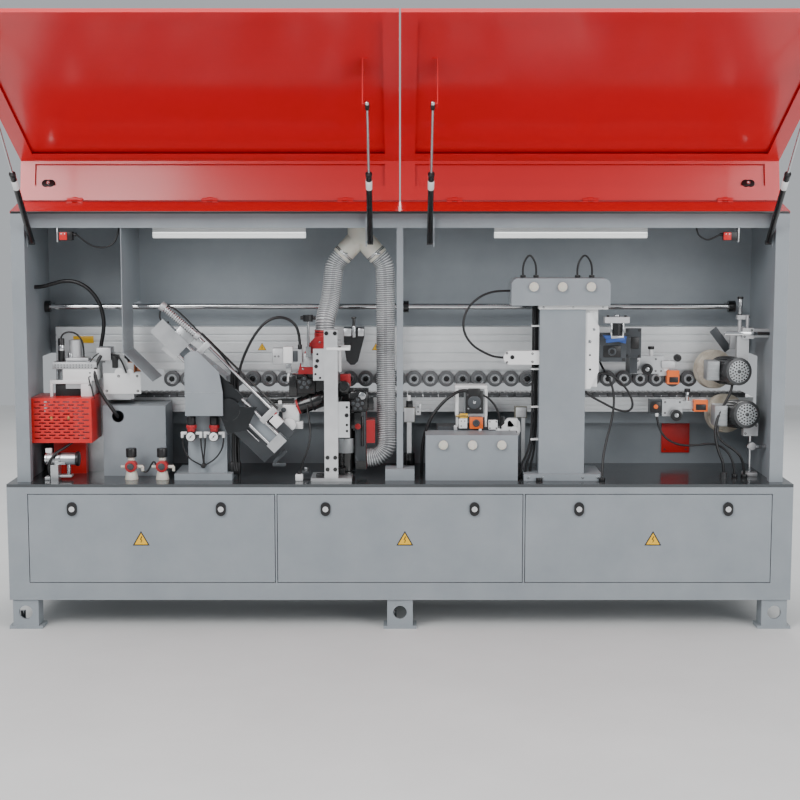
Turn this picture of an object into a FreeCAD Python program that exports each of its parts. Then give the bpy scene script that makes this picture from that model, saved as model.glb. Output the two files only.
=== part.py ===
import FreeCAD, Part
import math
import os
from types import SimpleNamespace

import Sketcher
from FreeCAD import Placement, Rotation, Vector

# Straight-line edge banding machine, millimetres.
# Origin: middle of the four corner anchor holes, on the floor.
# X runs along the feed, Y points away from the hood side, Z is up.

sizes = {
    # frame
    "caseHalf": 1500, "wallInner": 1462, "postWidth": 52, "postDepth": 40,
    "caseFront": -325, "caseTop": 1624, "caseRear": 330,
    "headerLow": 1567, "headerFront": -265, "headerRear": -235,
    "baseHalf": 1530, "baseFront": -380, "baseRear": 380, "baseLow": 118,
    "tableTop": 577, "plateThick": 12, "sheetThick": 3,
    "footHalf": 1470, "footWidth": 130, "anchorY": 335, "anchorRadius": 7,
    # doors
    "doorLow": 189, "doorHigh": 536, "doorSplit": 483, "doorOuter": 1447, "doorGap": 3,
    "doorDeep": 20, "lockHeight": 480,
    # hoods
    "hingeY": -175, "hingeZ": 1678, "openAngle": 115, "hoodReach": 168,
    "hoodDrop": 1092, "hoodRise": 23, "hoodSlope": 40, "hoodDeep": 15, "hoodRim": 57,
    "strutOuter": 1427, "strutInner": 115, "strutRadius": 11.5, "strutRod": 5,
    "strutY": -285, "strutZ": 1511, "strutReach": 539, "strutLift": 492, "strutTube": 380,
    # feed
    "backFace": 150, "padTop": 889.5, "padLow": 869, "padPitch": 63.5, "workGap": 23.5,
    "rollerRadius": 32.5, "rollerPitch": 66.7, "rollerFirst": -942, "rollerFront": 40,
    "rollerRear": 70, "beamFront": 65, "beamRear": 140, "beamLow": 984, "beamHigh": 1159,
    # fits
    "runFit": 0.05, "airGap": 0.5,
}

rollerCount = 33
padCount = 45

doc = FreeCAD.newDocument("EdgeBandingMachine")
sheet = doc.addObject("Spreadsheet::Sheet", "Sizes")
for line, (alias, number) in enumerate(sizes.items(), 1):
    sheet.set(f"A{line}", alias)
    sheet.set(f"B{line}", str(number))
    sheet.setAlias(f"B{line}", alias)
doc.recompute()


class Size:
    """A length together with the sheet expression that gives it."""

    def __init__(self, value, text):
        self.value = value
        self.text = text

    def __add__(self, other):
        other = asSize(other)
        return Size(self.value + other.value, f"({self.text} + {other.text})")

    def __sub__(self, other):
        other = asSize(other)
        return Size(self.value - other.value, f"({self.text} - {other.text})")

    def __mul__(self, other):
        other = asSize(other)
        return Size(self.value * other.value, f"({self.text} * {other.text})")

    def __truediv__(self, other):
        other = asSize(other)
        return Size(self.value / other.value, f"({self.text} / {other.text})")

    def __neg__(self):
        return Size(-self.value, f"(-1 * {self.text})")

    def __radd__(self, other):
        return asSize(other) + self

    def __rsub__(self, other):
        return asSize(other) - self

    def __rmul__(self, other):
        return asSize(other) * self


def asSize(number):
    if isinstance(number, Size):
        return number
    return Size(float(number), f"({float(number)!r})")


size = SimpleNamespace(**{alias: Size(float(number), f"Sizes.{alias}") for alias, number in sizes.items()})
nodes = {}


def bind(item, values):
    for name, value in values.items():
        item.setExpression(name, asSize(value).text)


def place(item, x, y, z):
    bind(item, {".Placement.Base.x": x, ".Placement.Base.y": y, ".Placement.Base.z": z})


def box(x, y, z):
    """Block between two values on each axis."""
    item = doc.addObject("Part::Box", "Block")
    spans = [(asSize(low), asSize(high)) for low, high in (x, y, z)]
    for name, (low, high) in zip(("Length", "Width", "Height"), spans):
        bind(item, {name: high - low})
    place(item, spans[0][0], spans[1][0], spans[2][0])
    return item


along = {
    "x": Rotation(Vector(0, 1, 0), 90),
    "y": Rotation(Vector(1, 0, 0), -90),
    "z": Rotation(),
}


def corner(axis, start, across):
    """Point with start on the named axis and the other two values in order."""
    point = list(across)
    point.insert("xyz".index(axis), start)
    return point


def rod(axis, across, span, radius, tip=None):
    """Round bar along an axis, or a cone when a tip radius is given."""
    low, high = asSize(span[0]), asSize(span[1])
    kind = "Part::Cylinder" if tip is None else "Part::Cone"
    item = doc.addObject(kind, "Round")
    item.Placement = Placement(Vector(), along[axis])
    if tip is None:
        bind(item, {"Radius": radius, "Height": high - low})
    else:
        bind(item, {"Radius1": radius, "Radius2": tip, "Height": high - low})
    place(item, *corner(axis, low, across))
    return item


def slantRod(start, end, radius):
    """Round bar between any two points."""
    first, last = Vector(*start), Vector(*end)
    item = doc.addObject("Part::Cylinder", "Slant")
    bind(item, {"Radius": radius, "Height": (last - first).Length})
    item.Placement = Placement(first, Rotation(Vector(0, 0, 1), last - first))
    return item


def slantBox(start, end, wide, deep):
    """Bar of rectangular section between two points of one XZ plane, wide across the slope."""
    first, last = Vector(*start), Vector(*end)
    run = last - first
    item = doc.addObject("Part::Box", "Slant")
    bind(item, {"Length": run.Length, "Width": deep, "Height": wide})
    turn = Rotation(Vector(0, 1, 0), -math.degrees(math.atan2(run.z, run.x)))
    item.Placement = Placement(first - turn.multVec(Vector(0, 0, asSize(wide).value / 2)), turn)
    return item


def outline(plane, corners, span):
    """Pad of a closed outline drawn on XY, XZ or YZ, between two values on the third axis."""
    body = doc.addObject("PartDesign::Body", "Profile")
    sketch = body.newObject("Sketcher::SketchObject", "Outline")
    support = [item for item in body.Origin.OriginFeatures if item.Role == plane + "_Plane"][0]
    sketch.AttachmentSupport = [(support, "")]
    sketch.MapMode = "FlatFace"
    points = [(asSize(a), asSize(b)) for a, b in corners]
    count = len(points)
    for index in range(count):
        first, last = points[index], points[(index + 1) % count]
        segment = Part.LineSegment(Vector(first[0].value, first[1].value, 0), Vector(last[0].value, last[1].value, 0))
        sketch.addGeometry(segment, False)
    for index in range(count):
        sketch.addConstraint(Sketcher.Constraint("Coincident", index, 2, (index + 1) % count, 1))
    for index, (a, b) in enumerate(points):
        for kind, value in (("DistanceX", a), ("DistanceY", b)):
            number = sketch.addConstraint(Sketcher.Constraint(kind, -1, 1, index, 1, value.value))
            sketch.setExpression(f"Constraints[{number}]", value.text)
    low, high = asSize(span[0]), asSize(span[1])
    bind(sketch, {".AttachmentOffset.Base.z": -high if plane == "XZ" else low})
    pad = body.newObject("PartDesign::Pad", "Pad")
    pad.Profile = sketch
    bind(pad, {"Length": high - low})
    return body


def fuse(*pieces):
    item = doc.addObject("Part::MultiFuse", "Joined")
    item.Shapes = list(pieces)
    return item


def group(*pieces):
    item = doc.addObject("Part::Compound", "Set")
    item.Links = list(pieces)
    return item


def cut(base, *tools):
    item = doc.addObject("Part::Cut", "Trimmed")
    item.Base = base
    item.Tool = tools[0] if len(tools) == 1 else group(*tools)
    return item


def node(name, item):
    """Names a finished sub-part, which also names its file."""
    item.Label = name
    nodes[name] = item
    return item


def mirrored(side, low, high):
    """Span on the left (-1) or right (1) side, lowest value first."""
    return (low, high) if side > 0 else (-asSize(high), -asSize(low))


# ---- frame ----

def baseCabinet():
    thick = size.sheetThick + 1
    top = size.tableTop - size.plateThick
    shell = box((-size.baseHalf, size.baseHalf), (size.baseFront, size.baseRear), (size.baseLow, top))
    inside = box(
        (-size.baseHalf + thick, size.baseHalf - thick),
        (size.baseFront + thick, size.baseRear - thick),
        (size.baseLow + thick, top),
    )
    tools = [inside]
    for low, high in doorSpans():
        tools.append(box((low, high), (size.baseFront - 1, size.baseFront + thick + 1), doorRise()))
    hollow = cut(shell, *tools)
    ribs = []
    for side in (-1, 1):
        x = mirrored(side, size.doorSplit - 2, size.doorSplit + 2)
        ribs.append(box(x, (size.baseFront + 28, size.baseRear - thick), (size.baseLow + thick, top)))
    node("base_cabinet", fuse(hollow, *ribs))


def doorSpans():
    gap = size.doorGap
    return (
        (-size.doorOuter - gap, -size.doorSplit - gap),
        (-size.doorSplit + gap, size.doorSplit - gap),
        (size.doorSplit + gap, size.doorOuter + gap),
    )


def doorRise():
    return size.doorLow - size.doorGap, size.doorHigh + size.doorGap


def doors():
    lockPlaces = ((-1277, -697), (-290, 290), (697, 1277))
    names = ("left_door", "middle_door", "right_door")
    for name, (low, high), locks in zip(names, doorSpans(), lockPlaces):
        x = (low + size.doorGap, high - size.doorGap)
        front = size.baseFront
        pan = box(x, (front, front + size.doorDeep), (size.doorLow, size.doorHigh))
        inner = (size.doorLow + 2, size.doorHigh - 2)
        tools = [box((x[0] + 2, x[1] - 2), (front + 2, front + size.doorDeep + 1), inner)]
        for place_ in locks:
            tools.append(rod("y", (place_, size.lockHeight), (front - 1, front + 4), 6 + size.runFit))
        node(name, cut(pan, *tools))
        for end, place_ in zip(("left", "right"), locks):
            node(f"{name}_{end}_lock", quarterTurn(place_))


def quarterTurn(x):
    face = size.baseFront
    knob = (face - 8, face - size.airGap)
    middle = box((x - 19, x + 19), knob, (size.lockHeight - 8, size.lockHeight + 8))
    ends = [rod("y", (x, size.lockHeight + step), knob, 19) for step in (-8, 8)]
    stem = rod("y", (x, size.lockHeight), (face - 1, face + 12), 6)
    cam = box((x - 8, x + 8), (face + 12, face + 15), (size.lockHeight - 10, size.lockHeight + 40))
    insert = rod("y", (x, size.lockHeight), (face - 11, face - 7), 11)
    return fuse(middle, *ends, stem, cam, insert)


def feet():
    brackets = []
    bolts = []
    half = size.footWidth / 2
    for x in (-size.footHalf, asSize(0), size.footHalf):
        for side in (-1, 1):
            plate = box((x - half, x + half), mirrored(side, size.anchorY - 45, size.anchorY + 40), (0, 12))
            upright = box((x - 50, x + 50), mirrored(side, size.anchorY + 26, size.anchorY + 38), (12, size.baseLow))
            webY = mirrored(side, size.anchorY - 45, size.anchorY + 26)
            webs = [box((x + a, x + a + 8), webY, (12, size.baseLow)) for a in (-50, 42)]
            window = rod("y", (x, 66), mirrored(side, size.anchorY + 20, size.anchorY + 41), 26.5)
            tools = [window, rod("z", (x - 24, side * (size.anchorY - 20)), (-1, 13), 10.3)]
            if x.value:
                tools.append(rod("z", (x, side * size.anchorY), (-1, 13), size.anchorRadius))
            brackets.append(cut(fuse(plate, upright, *webs), *tools))
            across = (x - 24, side * (size.anchorY - 20))
            bolts.append(fuse(rod("z", across, (0, 60), 10), rod("z", across, (14, 26), 15)))
    node("feet", group(*brackets, *bolts))


def tablePlate():
    top = (size.tableTop - size.plateThick, size.tableTop)
    node("table_plate", box((-size.baseHalf, size.baseHalf), (size.baseFront, size.baseRear), top))


def sideWalls():
    for name, side in (("left_side_wall", -1), ("right_side_wall", 1)):
        outer = box(
            mirrored(side, size.wallInner, size.caseHalf),
            (size.caseFront, size.caseRear),
            (size.tableTop, size.caseTop),
        )
        post = box(
            mirrored(side, size.caseHalf - size.postWidth, size.wallInner + 1),
            (size.caseFront, size.caseFront + size.postDepth),
            (size.tableTop, size.caseTop),
        )
        skin = size.sheetThick
        hollow = box(
            mirrored(side, size.wallInner + skin, size.caseHalf - skin),
            (size.caseFront + size.postDepth, size.caseRear - skin),
            (size.tableTop - 1, size.caseTop - skin),
        )
        path = box(
            mirrored(side, size.wallInner - 1, size.caseHalf + 1),
            (-5, size.caseRear + 1),
            (size.padLow - 64, size.beamLow + 60),
        )
        step = box(
            mirrored(side, size.wallInner - 1, size.caseHalf + 1),
            (size.backFace, size.caseRear + 1),
            (size.tableTop - 1, size.padLow - 60),
        )
        node(name, cut(fuse(outer, post), hollow, path, step))


def headerFrame():
    """Top front beam with the middle post and the strut hangers."""
    beam = box((-size.wallInner, size.wallInner), (size.headerFront, size.headerRear), (size.headerLow, size.caseTop))
    hollow = box(
        (-size.wallInner + 3, size.wallInner - 3),
        (size.headerFront + 3, size.headerRear + 1),
        (size.headerLow + 3, size.caseTop - 3),
    )
    pieces = [cut(beam, hollow)]
    pieces.append(box((-13, 12), (size.headerFront, size.headerFront + 40), (size.tableTop + 45, size.headerLow)))
    pieces.append(box((-58, 57), (size.headerFront - 25, size.headerFront + 65), (size.tableTop, size.tableTop + 45)))
    for x in strutPlaces():
        outward = 1 if x.value > 0 else -1
        plate = (x + outward * 14, x + outward * 18)
        span = plate if outward > 0 else (plate[1], plate[0])
        z = (size.strutZ - 16, size.caseTop)
        pieces.append(box(span, (size.strutY - 14, size.headerFront), z))
        stud = (x + outward * 12, x + outward * 14)
        stud = stud if outward > 0 else (stud[1], stud[0])
        pieces.append(rod("x", (size.strutY, size.strutZ), stud, 5))
    node("header_frame", fuse(*pieces))


def strutPlaces():
    return (-size.strutOuter, -size.strutInner, size.strutInner, size.strutOuter)


def topFascia():
    """Sloped sheet from the front edge up to the ridge that carries the hood hinges."""
    front, ridge = size.caseFront, size.hingeY
    low, high = size.caseTop, size.hingeZ - 9
    corners = (
        (front, low), (front, low + 7), (ridge, high), (ridge + 3, high), (ridge + 3, low),
        (ridge, low), (ridge, high - 4), (front + 3, low + 4), (front + 3, low),
    )
    sheetMetal = outline("YZ", corners, (-size.caseHalf, size.caseHalf))
    front = box((-size.caseHalf, size.caseHalf), (size.headerRear, size.hingeY), (size.caseTop, size.caseTop + 2))
    knuckles = []
    for x in hingePlaces():
        across = (size.hingeY, size.hingeZ)
        knuckles.append(rod("x", across, (x - 31, x - 11), 6))
        knuckles.append(rod("x", across, (x + 11, x + 31), 6))
        knuckles.append(rod("x", across, (x - 12, x + 12), 3))
        leaf = (size.hingeY - 3, size.hingeY + 3)
        for side in (-1, 1):
            span = mirrored(side, 11, 31)
            knuckles.append(box((x + span[0], x + span[1]), leaf, (size.hingeZ - 9.5, size.hingeZ - 3)))
    node("top_fascia", fuse(sheetMetal, front, *knuckles))


def hingePlaces():
    return [asSize(x) for x in (-1280, -750, -215, 215, 750, 1280)]


def rearHousing():
    """Roof and the hollow box that carries the pressure beam."""
    low = size.beamLow + 60
    outer = box((-size.wallInner, size.wallInner), (size.backFace, size.caseRear), (low, size.caseTop - 3))
    hollow = box(
        (-size.wallInner + 3, size.wallInner - 3),
        (size.backFace + 3, size.caseRear - 3),
        (low - 1, size.caseTop - 6),
    )
    roof = box((-size.wallInner, size.wallInner), (size.headerRear, size.caseRear), (size.caseTop - 3, size.caseTop))
    guides = []
    for x in (-1100, -200, 700, 1150):
        guides.append(box((x - 30, x + 30), (size.beamRear + size.airGap, size.backFace), (low, low + 120)))
    node("rear_housing", fuse(cut(outer, hollow), roof, *guides))


def bafflePlate():
    """Partition beside the glue unit, bent towards the feed at its lower end."""
    top, bend = size.headerLow, 1080
    corners = (
        (-1089, top), (-1086, top), (-1086, bend), (-972, bend - 114), (-974, bend - 116), (-1089, bend - 1),
    )
    lower = outline("XZ", corners, (size.headerFront + 5, -20))
    upper = box((-1089, -1086), (-20, size.backFace), (1262, size.headerLow))
    hook = box((-1089, -1086), (size.headerRear, size.backFace), (size.headerLow, size.caseTop - 3))
    node("baffle_plate", fuse(lower, upper, hook))


def lamps():
    tubes = []
    for low, high in ((-990, -378), (378, 990)):
        middle = size.caseTop - 85
        tubes.append(rod("x", (-75, middle), (low, high), 14))
        tubes.append(box((low, high), (-90, -60), (middle + 10, size.caseTop - 3)))
    node("lamps", group(fuse(tubes[0], tubes[1]), fuse(tubes[2], tubes[3])))


def guideBar():
    """Polished overhead bar with its three holders."""
    across = (65, 1243)
    bar = rod("x", across, (-size.wallInner, 1380), 12.5)
    holders = []
    for low, high in ((-size.wallInner, asSize(-1440)), (asSize(14), asSize(36)), (asSize(1352), asSize(1380))):
        collar = rod("x", across, (low, high), 24)
        arm = box((low, high), (65, size.backFace), (1232, 1254))
        holders += [collar, arm]
    node("guide_bar", fuse(bar, *holders))


# ---- hoods and struts ----

def hoods():
    slope = size.hoodSlope / size.hoodReach
    deep = size.hoodDeep
    rise, reach, drop = size.hoodRise, size.hoodReach, size.hoodDrop
    for name, side in (("left_hood", -1), ("right_hood", 1)):
        x = mirrored(side, 3, size.caseHalf - 3)
        inner = reach - deep
        outer = (
            (0, rise), (-reach, rise - size.hoodSlope), (-reach, -drop), (-inner, -drop),
            (-inner, rise - deep - slope * inner), (0, rise - deep),
        )
        skin = 2.5
        cavity = (
            (-skin, rise - skin - slope * skin), (-reach + skin, rise - skin - slope * (reach - skin)),
            (-reach + skin, -drop + skin), (-inner - skin, -drop + skin),
            (-inner - skin, rise - deep + skin - slope * inner), (-skin, rise - deep + skin - slope * skin),
        )
        shell = outline("YZ", outer, x)
        hollow = outline("YZ", cavity, (x[0] + skin, x[1] - skin))
        rim = size.hoodRim
        window = box(
            (x[0] + rim, x[1] - rim),
            (-inner - skin - 1, -inner + 1),
            (-drop + rim, rise - deep - slope * inner - rim),
        )
        high = (
            (-rim, rise - skin - slope * rim - 3), (-inner + 12, rise - skin - slope * inner - 2),
            (-inner + 12, rise - deep - slope * inner - 4), (-rim, rise - deep - slope * rim - 3),
        )
        topWindow = outline("YZ", high, (x[0] + rim, x[1] - rim))
        pieces = [cut(shell, hollow, window, topWindow)]
        for stud in strutPlaces():
            if stud.value * side > 0:
                pieces += hoodBracket(stud, inner)
        pieces += hingeLeaves(x, side)
        hood = fuse(*pieces)
        hood.Placement = Placement(Vector(), Rotation(Vector(1, 0, 0), -sizes["openAngle"]))
        place(hood, 0, size.hingeY, size.hingeZ)
        node(name, hood)


def closedEye():
    """Strut eye relative to the hood hinge with the hood shut: depth and height."""
    angle = math.radians(sizes["openAngle"])
    y = sizes["strutY"] - sizes["strutReach"] - sizes["hingeY"]
    z = sizes["strutZ"] + sizes["strutLift"] - sizes["hingeZ"]
    return y * math.cos(angle) - z * math.sin(angle), y * math.sin(angle) + z * math.cos(angle)


def hoodBracket(stud, inner):
    y, z = closedEye()
    outward = 1 if stud.value > 0 else -1
    ends = sorted((stud.value + outward * 14, stud.value + outward * 18))
    tip = sorted((stud.value + outward * 5.6, stud.value + outward * 14))
    foot = sorted((stud.value - outward * 2, stud.value + outward * 14))
    reach = -inner - size.hoodDeep + 2
    web = outline("YZ", ((reach, z - 60), (reach, z + 60), (y + 12, z + 14), (y + 12, z - 14)), ends)
    flange = box(foot, (reach, reach + 4), (z - 60, z + 60))
    return [web, flange, rod("x", (y, z), tip, 5)]


def hingeLeaves(x, side):
    leaves = []
    for place_ in hingePlaces():
        if place_.value * side > 0:
            tube = rod("x", (0, 0), (place_ - 10.5, place_ + 10.5), 7)
            bore = rod("x", (0, 0), (place_ - 11, place_ + 11), 3 + size.runFit)
            arm = box((place_ - 10.5, place_ + 10.5), (-12, 0), (4, size.hoodRise - size.hoodDeep + 3))
            leaves.append(cut(fuse(tube, arm), bore))
    return leaves


def struts():
    """Gas springs, drawn along their open direction: tube low on the frame, rod high on the hood."""
    tilt = math.degrees(math.atan2(sizes["strutReach"], sizes["strutLift"]))
    opened = math.hypot(sizes["strutReach"], sizes["strutLift"])
    for side in (-1, 1):
        word = "left" if side < 0 else "right"
        tubes = []
        rods = []
        for x in strutPlaces():
            if x.value * side < 0:
                continue
            eye = rod("x", (0, 0), (x - 11, x + 11), 9)
            tube = rod("z", (x, 0), (7, size.strutTube), size.strutRadius)
            hole = rod("z", (x, 0), (24, size.strutTube + 1), size.strutRod + size.runFit)
            tubes.append(cut(fuse(eye, tube), hole))
            stem = rod("z", (x, 0), (opened - 390, opened), size.strutRod)
            rods.append(fuse(stem, rod("x", (0, opened), (x - 5, x + 5), 9)))
        for name, pieces in (("tubes", tubes), ("rods", rods)):
            strut = group(*pieces)
            strut.Placement = Placement(Vector(), Rotation(Vector(1, 0, 0), tilt))
            place(strut, 0, size.strutY, size.strutZ)
            node(f"{word}_strut_{name}", strut)


# ---- feed ----

def chainBeam():
    top, front, rear = size.padLow, 45, size.backFace
    half = size.wallInner
    beam = box((-half, half), (front, rear), (top - 60, top))
    tools = [box((-half - 1, half + 1), (front - 1, front + 4), (top - step - 5, top - step)) for step in (12, 30, 48)]
    ledge = box((-half, half), (rear - 45, rear), (top - 116, top - 60))
    wall = box((-half, half), (rear, rear + 6), (size.tableTop, top - 60))
    node("chain_beam", fuse(cut(beam, *tools), ledge, wall))


def chainPads():
    pads = []
    first = -size.padPitch * ((padCount - 1) / 2)
    for index in range(padCount):
        x = first + size.padPitch * index
        pads.append(box((x - 30.5, x + 30.5), (40, 120), (size.padLow, size.padTop)))
    node("chain_pads", group(*pads))


def feedMotor():
    """Geared motor of the feed chain, on the floor of the base."""
    low = size.baseLow + size.sheetThick + 1
    case = rod("x", (60, 290), (820, 1080), 85)
    foot = box((850, 1050), (-20, 140), (low, 290))
    gear = box((1080, 1230), (-30, 150), (low, 400))
    shaft = rod("y", (1155, 330), (-60, -30), 16)
    sprocket = rod("y", (1155, 330), (-58, -44), 62)
    node("feed_motor", fuse(case, foot, gear, shaft, sprocket))


def pressureBeam():
    low, high = size.beamLow, size.beamHigh
    front, rear = size.beamFront, size.beamRear
    half = size.wallInner - 40
    beam = box((-half, half), (front, rear), (low, high))
    tools = []
    for level in (24, 62, 110, 138):
        tools.append(box((-half - 1, half + 1), (front - 1, front + 6), (low + level, low + level + 8)))
    bar = box((-980, 1230), (size.rollerRear + 5, rear - 10), (low - 59, low))
    lip = box((-980, 1230), (size.rollerRear - 2, size.rollerRear + 5), (low - 6, low + 4))
    node("pressure_beam", fuse(cut(beam, *tools), bar, lip))


def pressureRollers():
    rollers = []
    height = size.padTop + size.workGap + size.rollerRadius
    for index in range(rollerCount):
        x = size.rollerFirst + size.rollerPitch * index
        tyre = rod("y", (x, height), (size.rollerFront, size.rollerRear), size.rollerRadius)
        recess = rod("y", (x, height), (size.rollerFront - 1, size.rollerFront + 5), 14)
        axle = rod("y", (x, height), (size.rollerFront, size.rollerRear + 5), 6)
        rollers.append(fuse(cut(tyre, recess), axle))
    node("pressure_rollers", group(*rollers))


# ---- glue unit ----

def glueGuard():
    """Perforated red guard, open at the back, on a foot that reaches the table."""
    x, y, z = (-1456, -1216), (-265, -70), (723, 900)
    shell = cut(box(x, y, z), box((x[0] + 2, x[1] - 2), (y[0] + 2, y[1] + 1), (z[0] + 2, z[1] - 2)))
    slots = []
    for line in range(13):
        level = z[0] + 16 + 12 * line
        shift = 19 * (line % 2)
        for index in range(6 - line % 2):
            left = x[0] + 14 + shift + 38 * index
            slots.append(box((left, left + 26), (y[0] - 1, y[0] + 3), (level, level + 5)))
    leg = box((-1400, -1270), (-120, -75), (size.tableTop, z[0]))
    node("glue_guard", fuse(cut(shell, *slots), leg))


def glueCover():
    x, y = (-1188, -938), (-175, 20)
    shell = box(x, y, (size.tableTop, 860))
    hollow = box((x[0] + 2, x[1] - 2), (y[0] + 2, y[1] - 2), (size.tableTop - 1, 858))
    hole = rod("y", (-1128, 817), (y[0] - 1, y[0] + 3), 24)
    node("glue_cover", cut(shell, hollow, hole))


def glueHead():
    """Glue pot, heater block, strip guide and motor above the glue roller."""
    pot = box((-1330, -1190), (-66, 34), (size.tableTop, 1010))
    roof = box((-1330, -1200), (-180, 34), (1010, 1040))
    heater = box((-1330, -1230), (-190, -66), (930, 1010))
    motor = rod("z", (-1300, -130), (1040, 1120), 26)
    plate = box((-1190, -1066), (-150, -140), (885, 1030))
    lobes = [rod("y", (x, 1030), (-150, -140), 20) for x in (-1160, -1110)]
    arm = box((-1190, -1150), (-140, -60), (900, 940))
    bridge = box((-1190, -1080), (-140, 30), (880, 900))
    post = box((-1190, -1170), (0, 30), (862, 1060))
    coil = rod("z", (-1126, -62), (900, 905), 55)
    table = box((-1375, -1345), (-300, -240), (size.tableTop, 640))
    valve = fuse(rod("x", (-265, 660), (-1400, -1280), 24), box((-1360, -1320), (-290, -240), (640, 650)))
    bodies = fuse(pot, roof, heater, motor, plate, *lobes, arm, bridge, post, coil)
    node("glue_head", group(bodies, fuse(table, valve)))


def glueRoller():
    """Heated roller that turns in front of the glue pot."""
    across = (-1160, -30)
    barrel = rod("z", across, (906, 960), 28)
    node("glue_roller", barrel)


# ---- end cutting ----

def endcutColumn():
    front = -245
    corners = ((-839, 602), (-686, 602), (-686, 982), (-839, 1106))
    post = outline("XZ", corners, (front, front + 120))
    base = box((-890, -662), (front - 40, front + 190), (size.tableTop, 602))
    top = box((-830, -700), (front + 30, -5), (760, 800))
    node("endcut_column", fuse(post, base, top))


def guideEnds():
    """Ends of the 45 degree guide of the end cutting unit."""
    return (-918, -262, 1158), (-482, -262, 722)


def endcutGuide():
    start, end = guideEnds()
    rail = slantBox(start, end, 60, 16)
    bracket = box((-800, -720), (-254, -245), (880, 1030))
    head = slantBox((-950, -290, 1190), (-850, -290, 1090), 70, 44)
    stop = slantBox((-500, -290, 740), (-470, -290, 710), 70, 44)
    rods = []
    for step in (-18, 18):
        rods.append(slantRod((-860 + step, -276, 1100 + step), (-490 + step, -276, 730 + step), 7))
    node("endcut_guide", fuse(rail, bracket, head, stop, *rods))


def endcutCarriage():
    """Saw carriage on the two chrome rods, with its motor plate."""
    middle = (-690, 930)
    block = slantBox((-740, -292, 980), (-640, -292, 880), 76, 29)
    bores = []
    for step in (-18, 18):
        start = (-860 + step, -276, 1100 + step)
        end = (-490 + step, -276, 730 + step)
        bores.append(slantRod(start, end, 7 + sizes["runFit"]))
    plate = outline("XZ", ((-716, 870), (-560, 870), (-600, 780), (-676, 762)), (-308, -293))
    motor = rod("y", (middle[0] + 20, middle[1] - 70), (-311, -306), 44)
    node("endcut_carriage", fuse(cut(block, *bores), plate, motor))


# ---- trimming ----

def trimColumn():
    front = -315
    post = box((-296, -243), (front, front + 60), (589, 1173))
    wing = box((-339, -296), (front + 8, front + 20), (975, 1099))
    lowWing = box((-243, -197), (front + 8, front + 20), (750, 891))
    base = box((-350, -190), (front, front + 150), (size.tableTop, 589))
    backRib = box((-285, -255), (front + 60, -60), (589, 860))
    places = ((-286, 1160), (-253, 1160), (-284, 672), (-254, 672), (-284, 625), (-254, 625))
    screws = [rod("y", place, (front - 5, front), 8) for place in places]
    node("trim_column", fuse(post, wing, lowWing, base, backRib, *screws))


def trimUnitUpper():
    """Upper motor with its red dust casting, on the column's side plate."""
    y = (-200, -110)
    hood = ((-300, 1140), (-336, 1136), (-364, 1106), (-392, 1046), (-404, 1002), (-404, 989), (-300, 989))
    casting = outline("XZ", hood, y)
    neck = rod("z", (-300, -150), (1101, 1152), 42)
    slide = box((-300, -243), (-255, -110), (990, 1100))
    terminal = box((-500, -388), (-215, -185), (1035, 1090))
    saddle = box((-430, -300), (-200, -150), (900, 989))
    rest = box((-300, -243), (-200, -150), (900, 930))
    knobRest = box((-243, -125), (-200, -150), (841, 930))
    wedge = (
        (-222, 1175), (-141, 1175), (-141, 1138), (-166, 1042), (-180, 1028), (-196, 1028), (-212, 1045), (-222, 1120),
    )
    motor = outline("XZ", wedge, (-215, -150))
    bracket = box((-243, -215), (-205, -165), (1060, 1100))
    spindle = rod("z", (-362, -225), (1090, 1200), 5)
    carrier = box((-372, -352), (-235, -200), (1060, 1100))
    body = fuse(casting, neck, slide, terminal, saddle, rest, knobRest, motor, bracket, spindle, carrier)
    node("trim_unit_upper", body)


def trimUnitLower():
    """Lower motor with its red dust casting, whose nozzle faces the hose."""
    y = (-192, -108)
    casting = box((-176, -134), y, (605, 840))
    nose = box((-136, -100), y, (712, 804))
    slide = box((-196, -170), (-180, -120), (760, 840))
    side = box((-255, -196), (-200, -120), (780, 840))
    motor = rod("z", (-217, -160), (600, 780), 36)
    foot = box((-250, -200), (-185, -135), (589, 601))
    node("trim_unit_lower", fuse(casting, nose, slide, side, motor, foot))


def starKnob(x, y, z, radius):
    """Five lobed clamping knob on a threaded stem that runs in a fixed boss."""
    hub = rod("y", (x, z), (y, y + 18), radius * 0.72)
    lobes = []
    for index in range(5):
        angle = math.radians(90 + 72 * index)
        across = (x + radius * 0.62 * math.cos(angle), z + radius * 0.62 * math.sin(angle))
        lobes.append(rod("y", across, (y, y + 18), radius * 0.38))
    stem = rod("y", (x, z), (y + 18, y + 38), 6)
    return fuse(hub, *lobes, stem)


def trimKnobs():
    node("upper_star_knob", starKnob(-378, -238.5, 956, 31))
    node("lower_star_knob", starKnob(-167, -238.5, 871, 31))
    hub = rod("z", (-362, -225), (1200.5, 1226), 20)
    bar = rod("x", (-225, 1214), (-392, -332), 7)
    node("height_knob", fuse(hub, bar))


# ---- extraction ----

def ductTee():
    """Cream plastic branch under the roof: one inlet stub and two outlets."""
    y = -68
    trunk = rod("z", (-160, y), (1500, size.caseTop - 3), 50)
    left = slantRod((-164, y, 1530), (-236, y, 1452), 41)
    right = slantRod((-154, y, 1530), (-86, y, 1452), 41)
    bores = [slantRod((-166, y, 1528), (-238, y, 1450), 36), slantRod((-152, y, 1528), (-84, y, 1450), 36)]
    bore = rod("z", (-160, y), (1512, size.caseTop - 2), 46)
    node("duct_tee", cut(fuse(trunk, left, right), bore, *bores))


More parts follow.
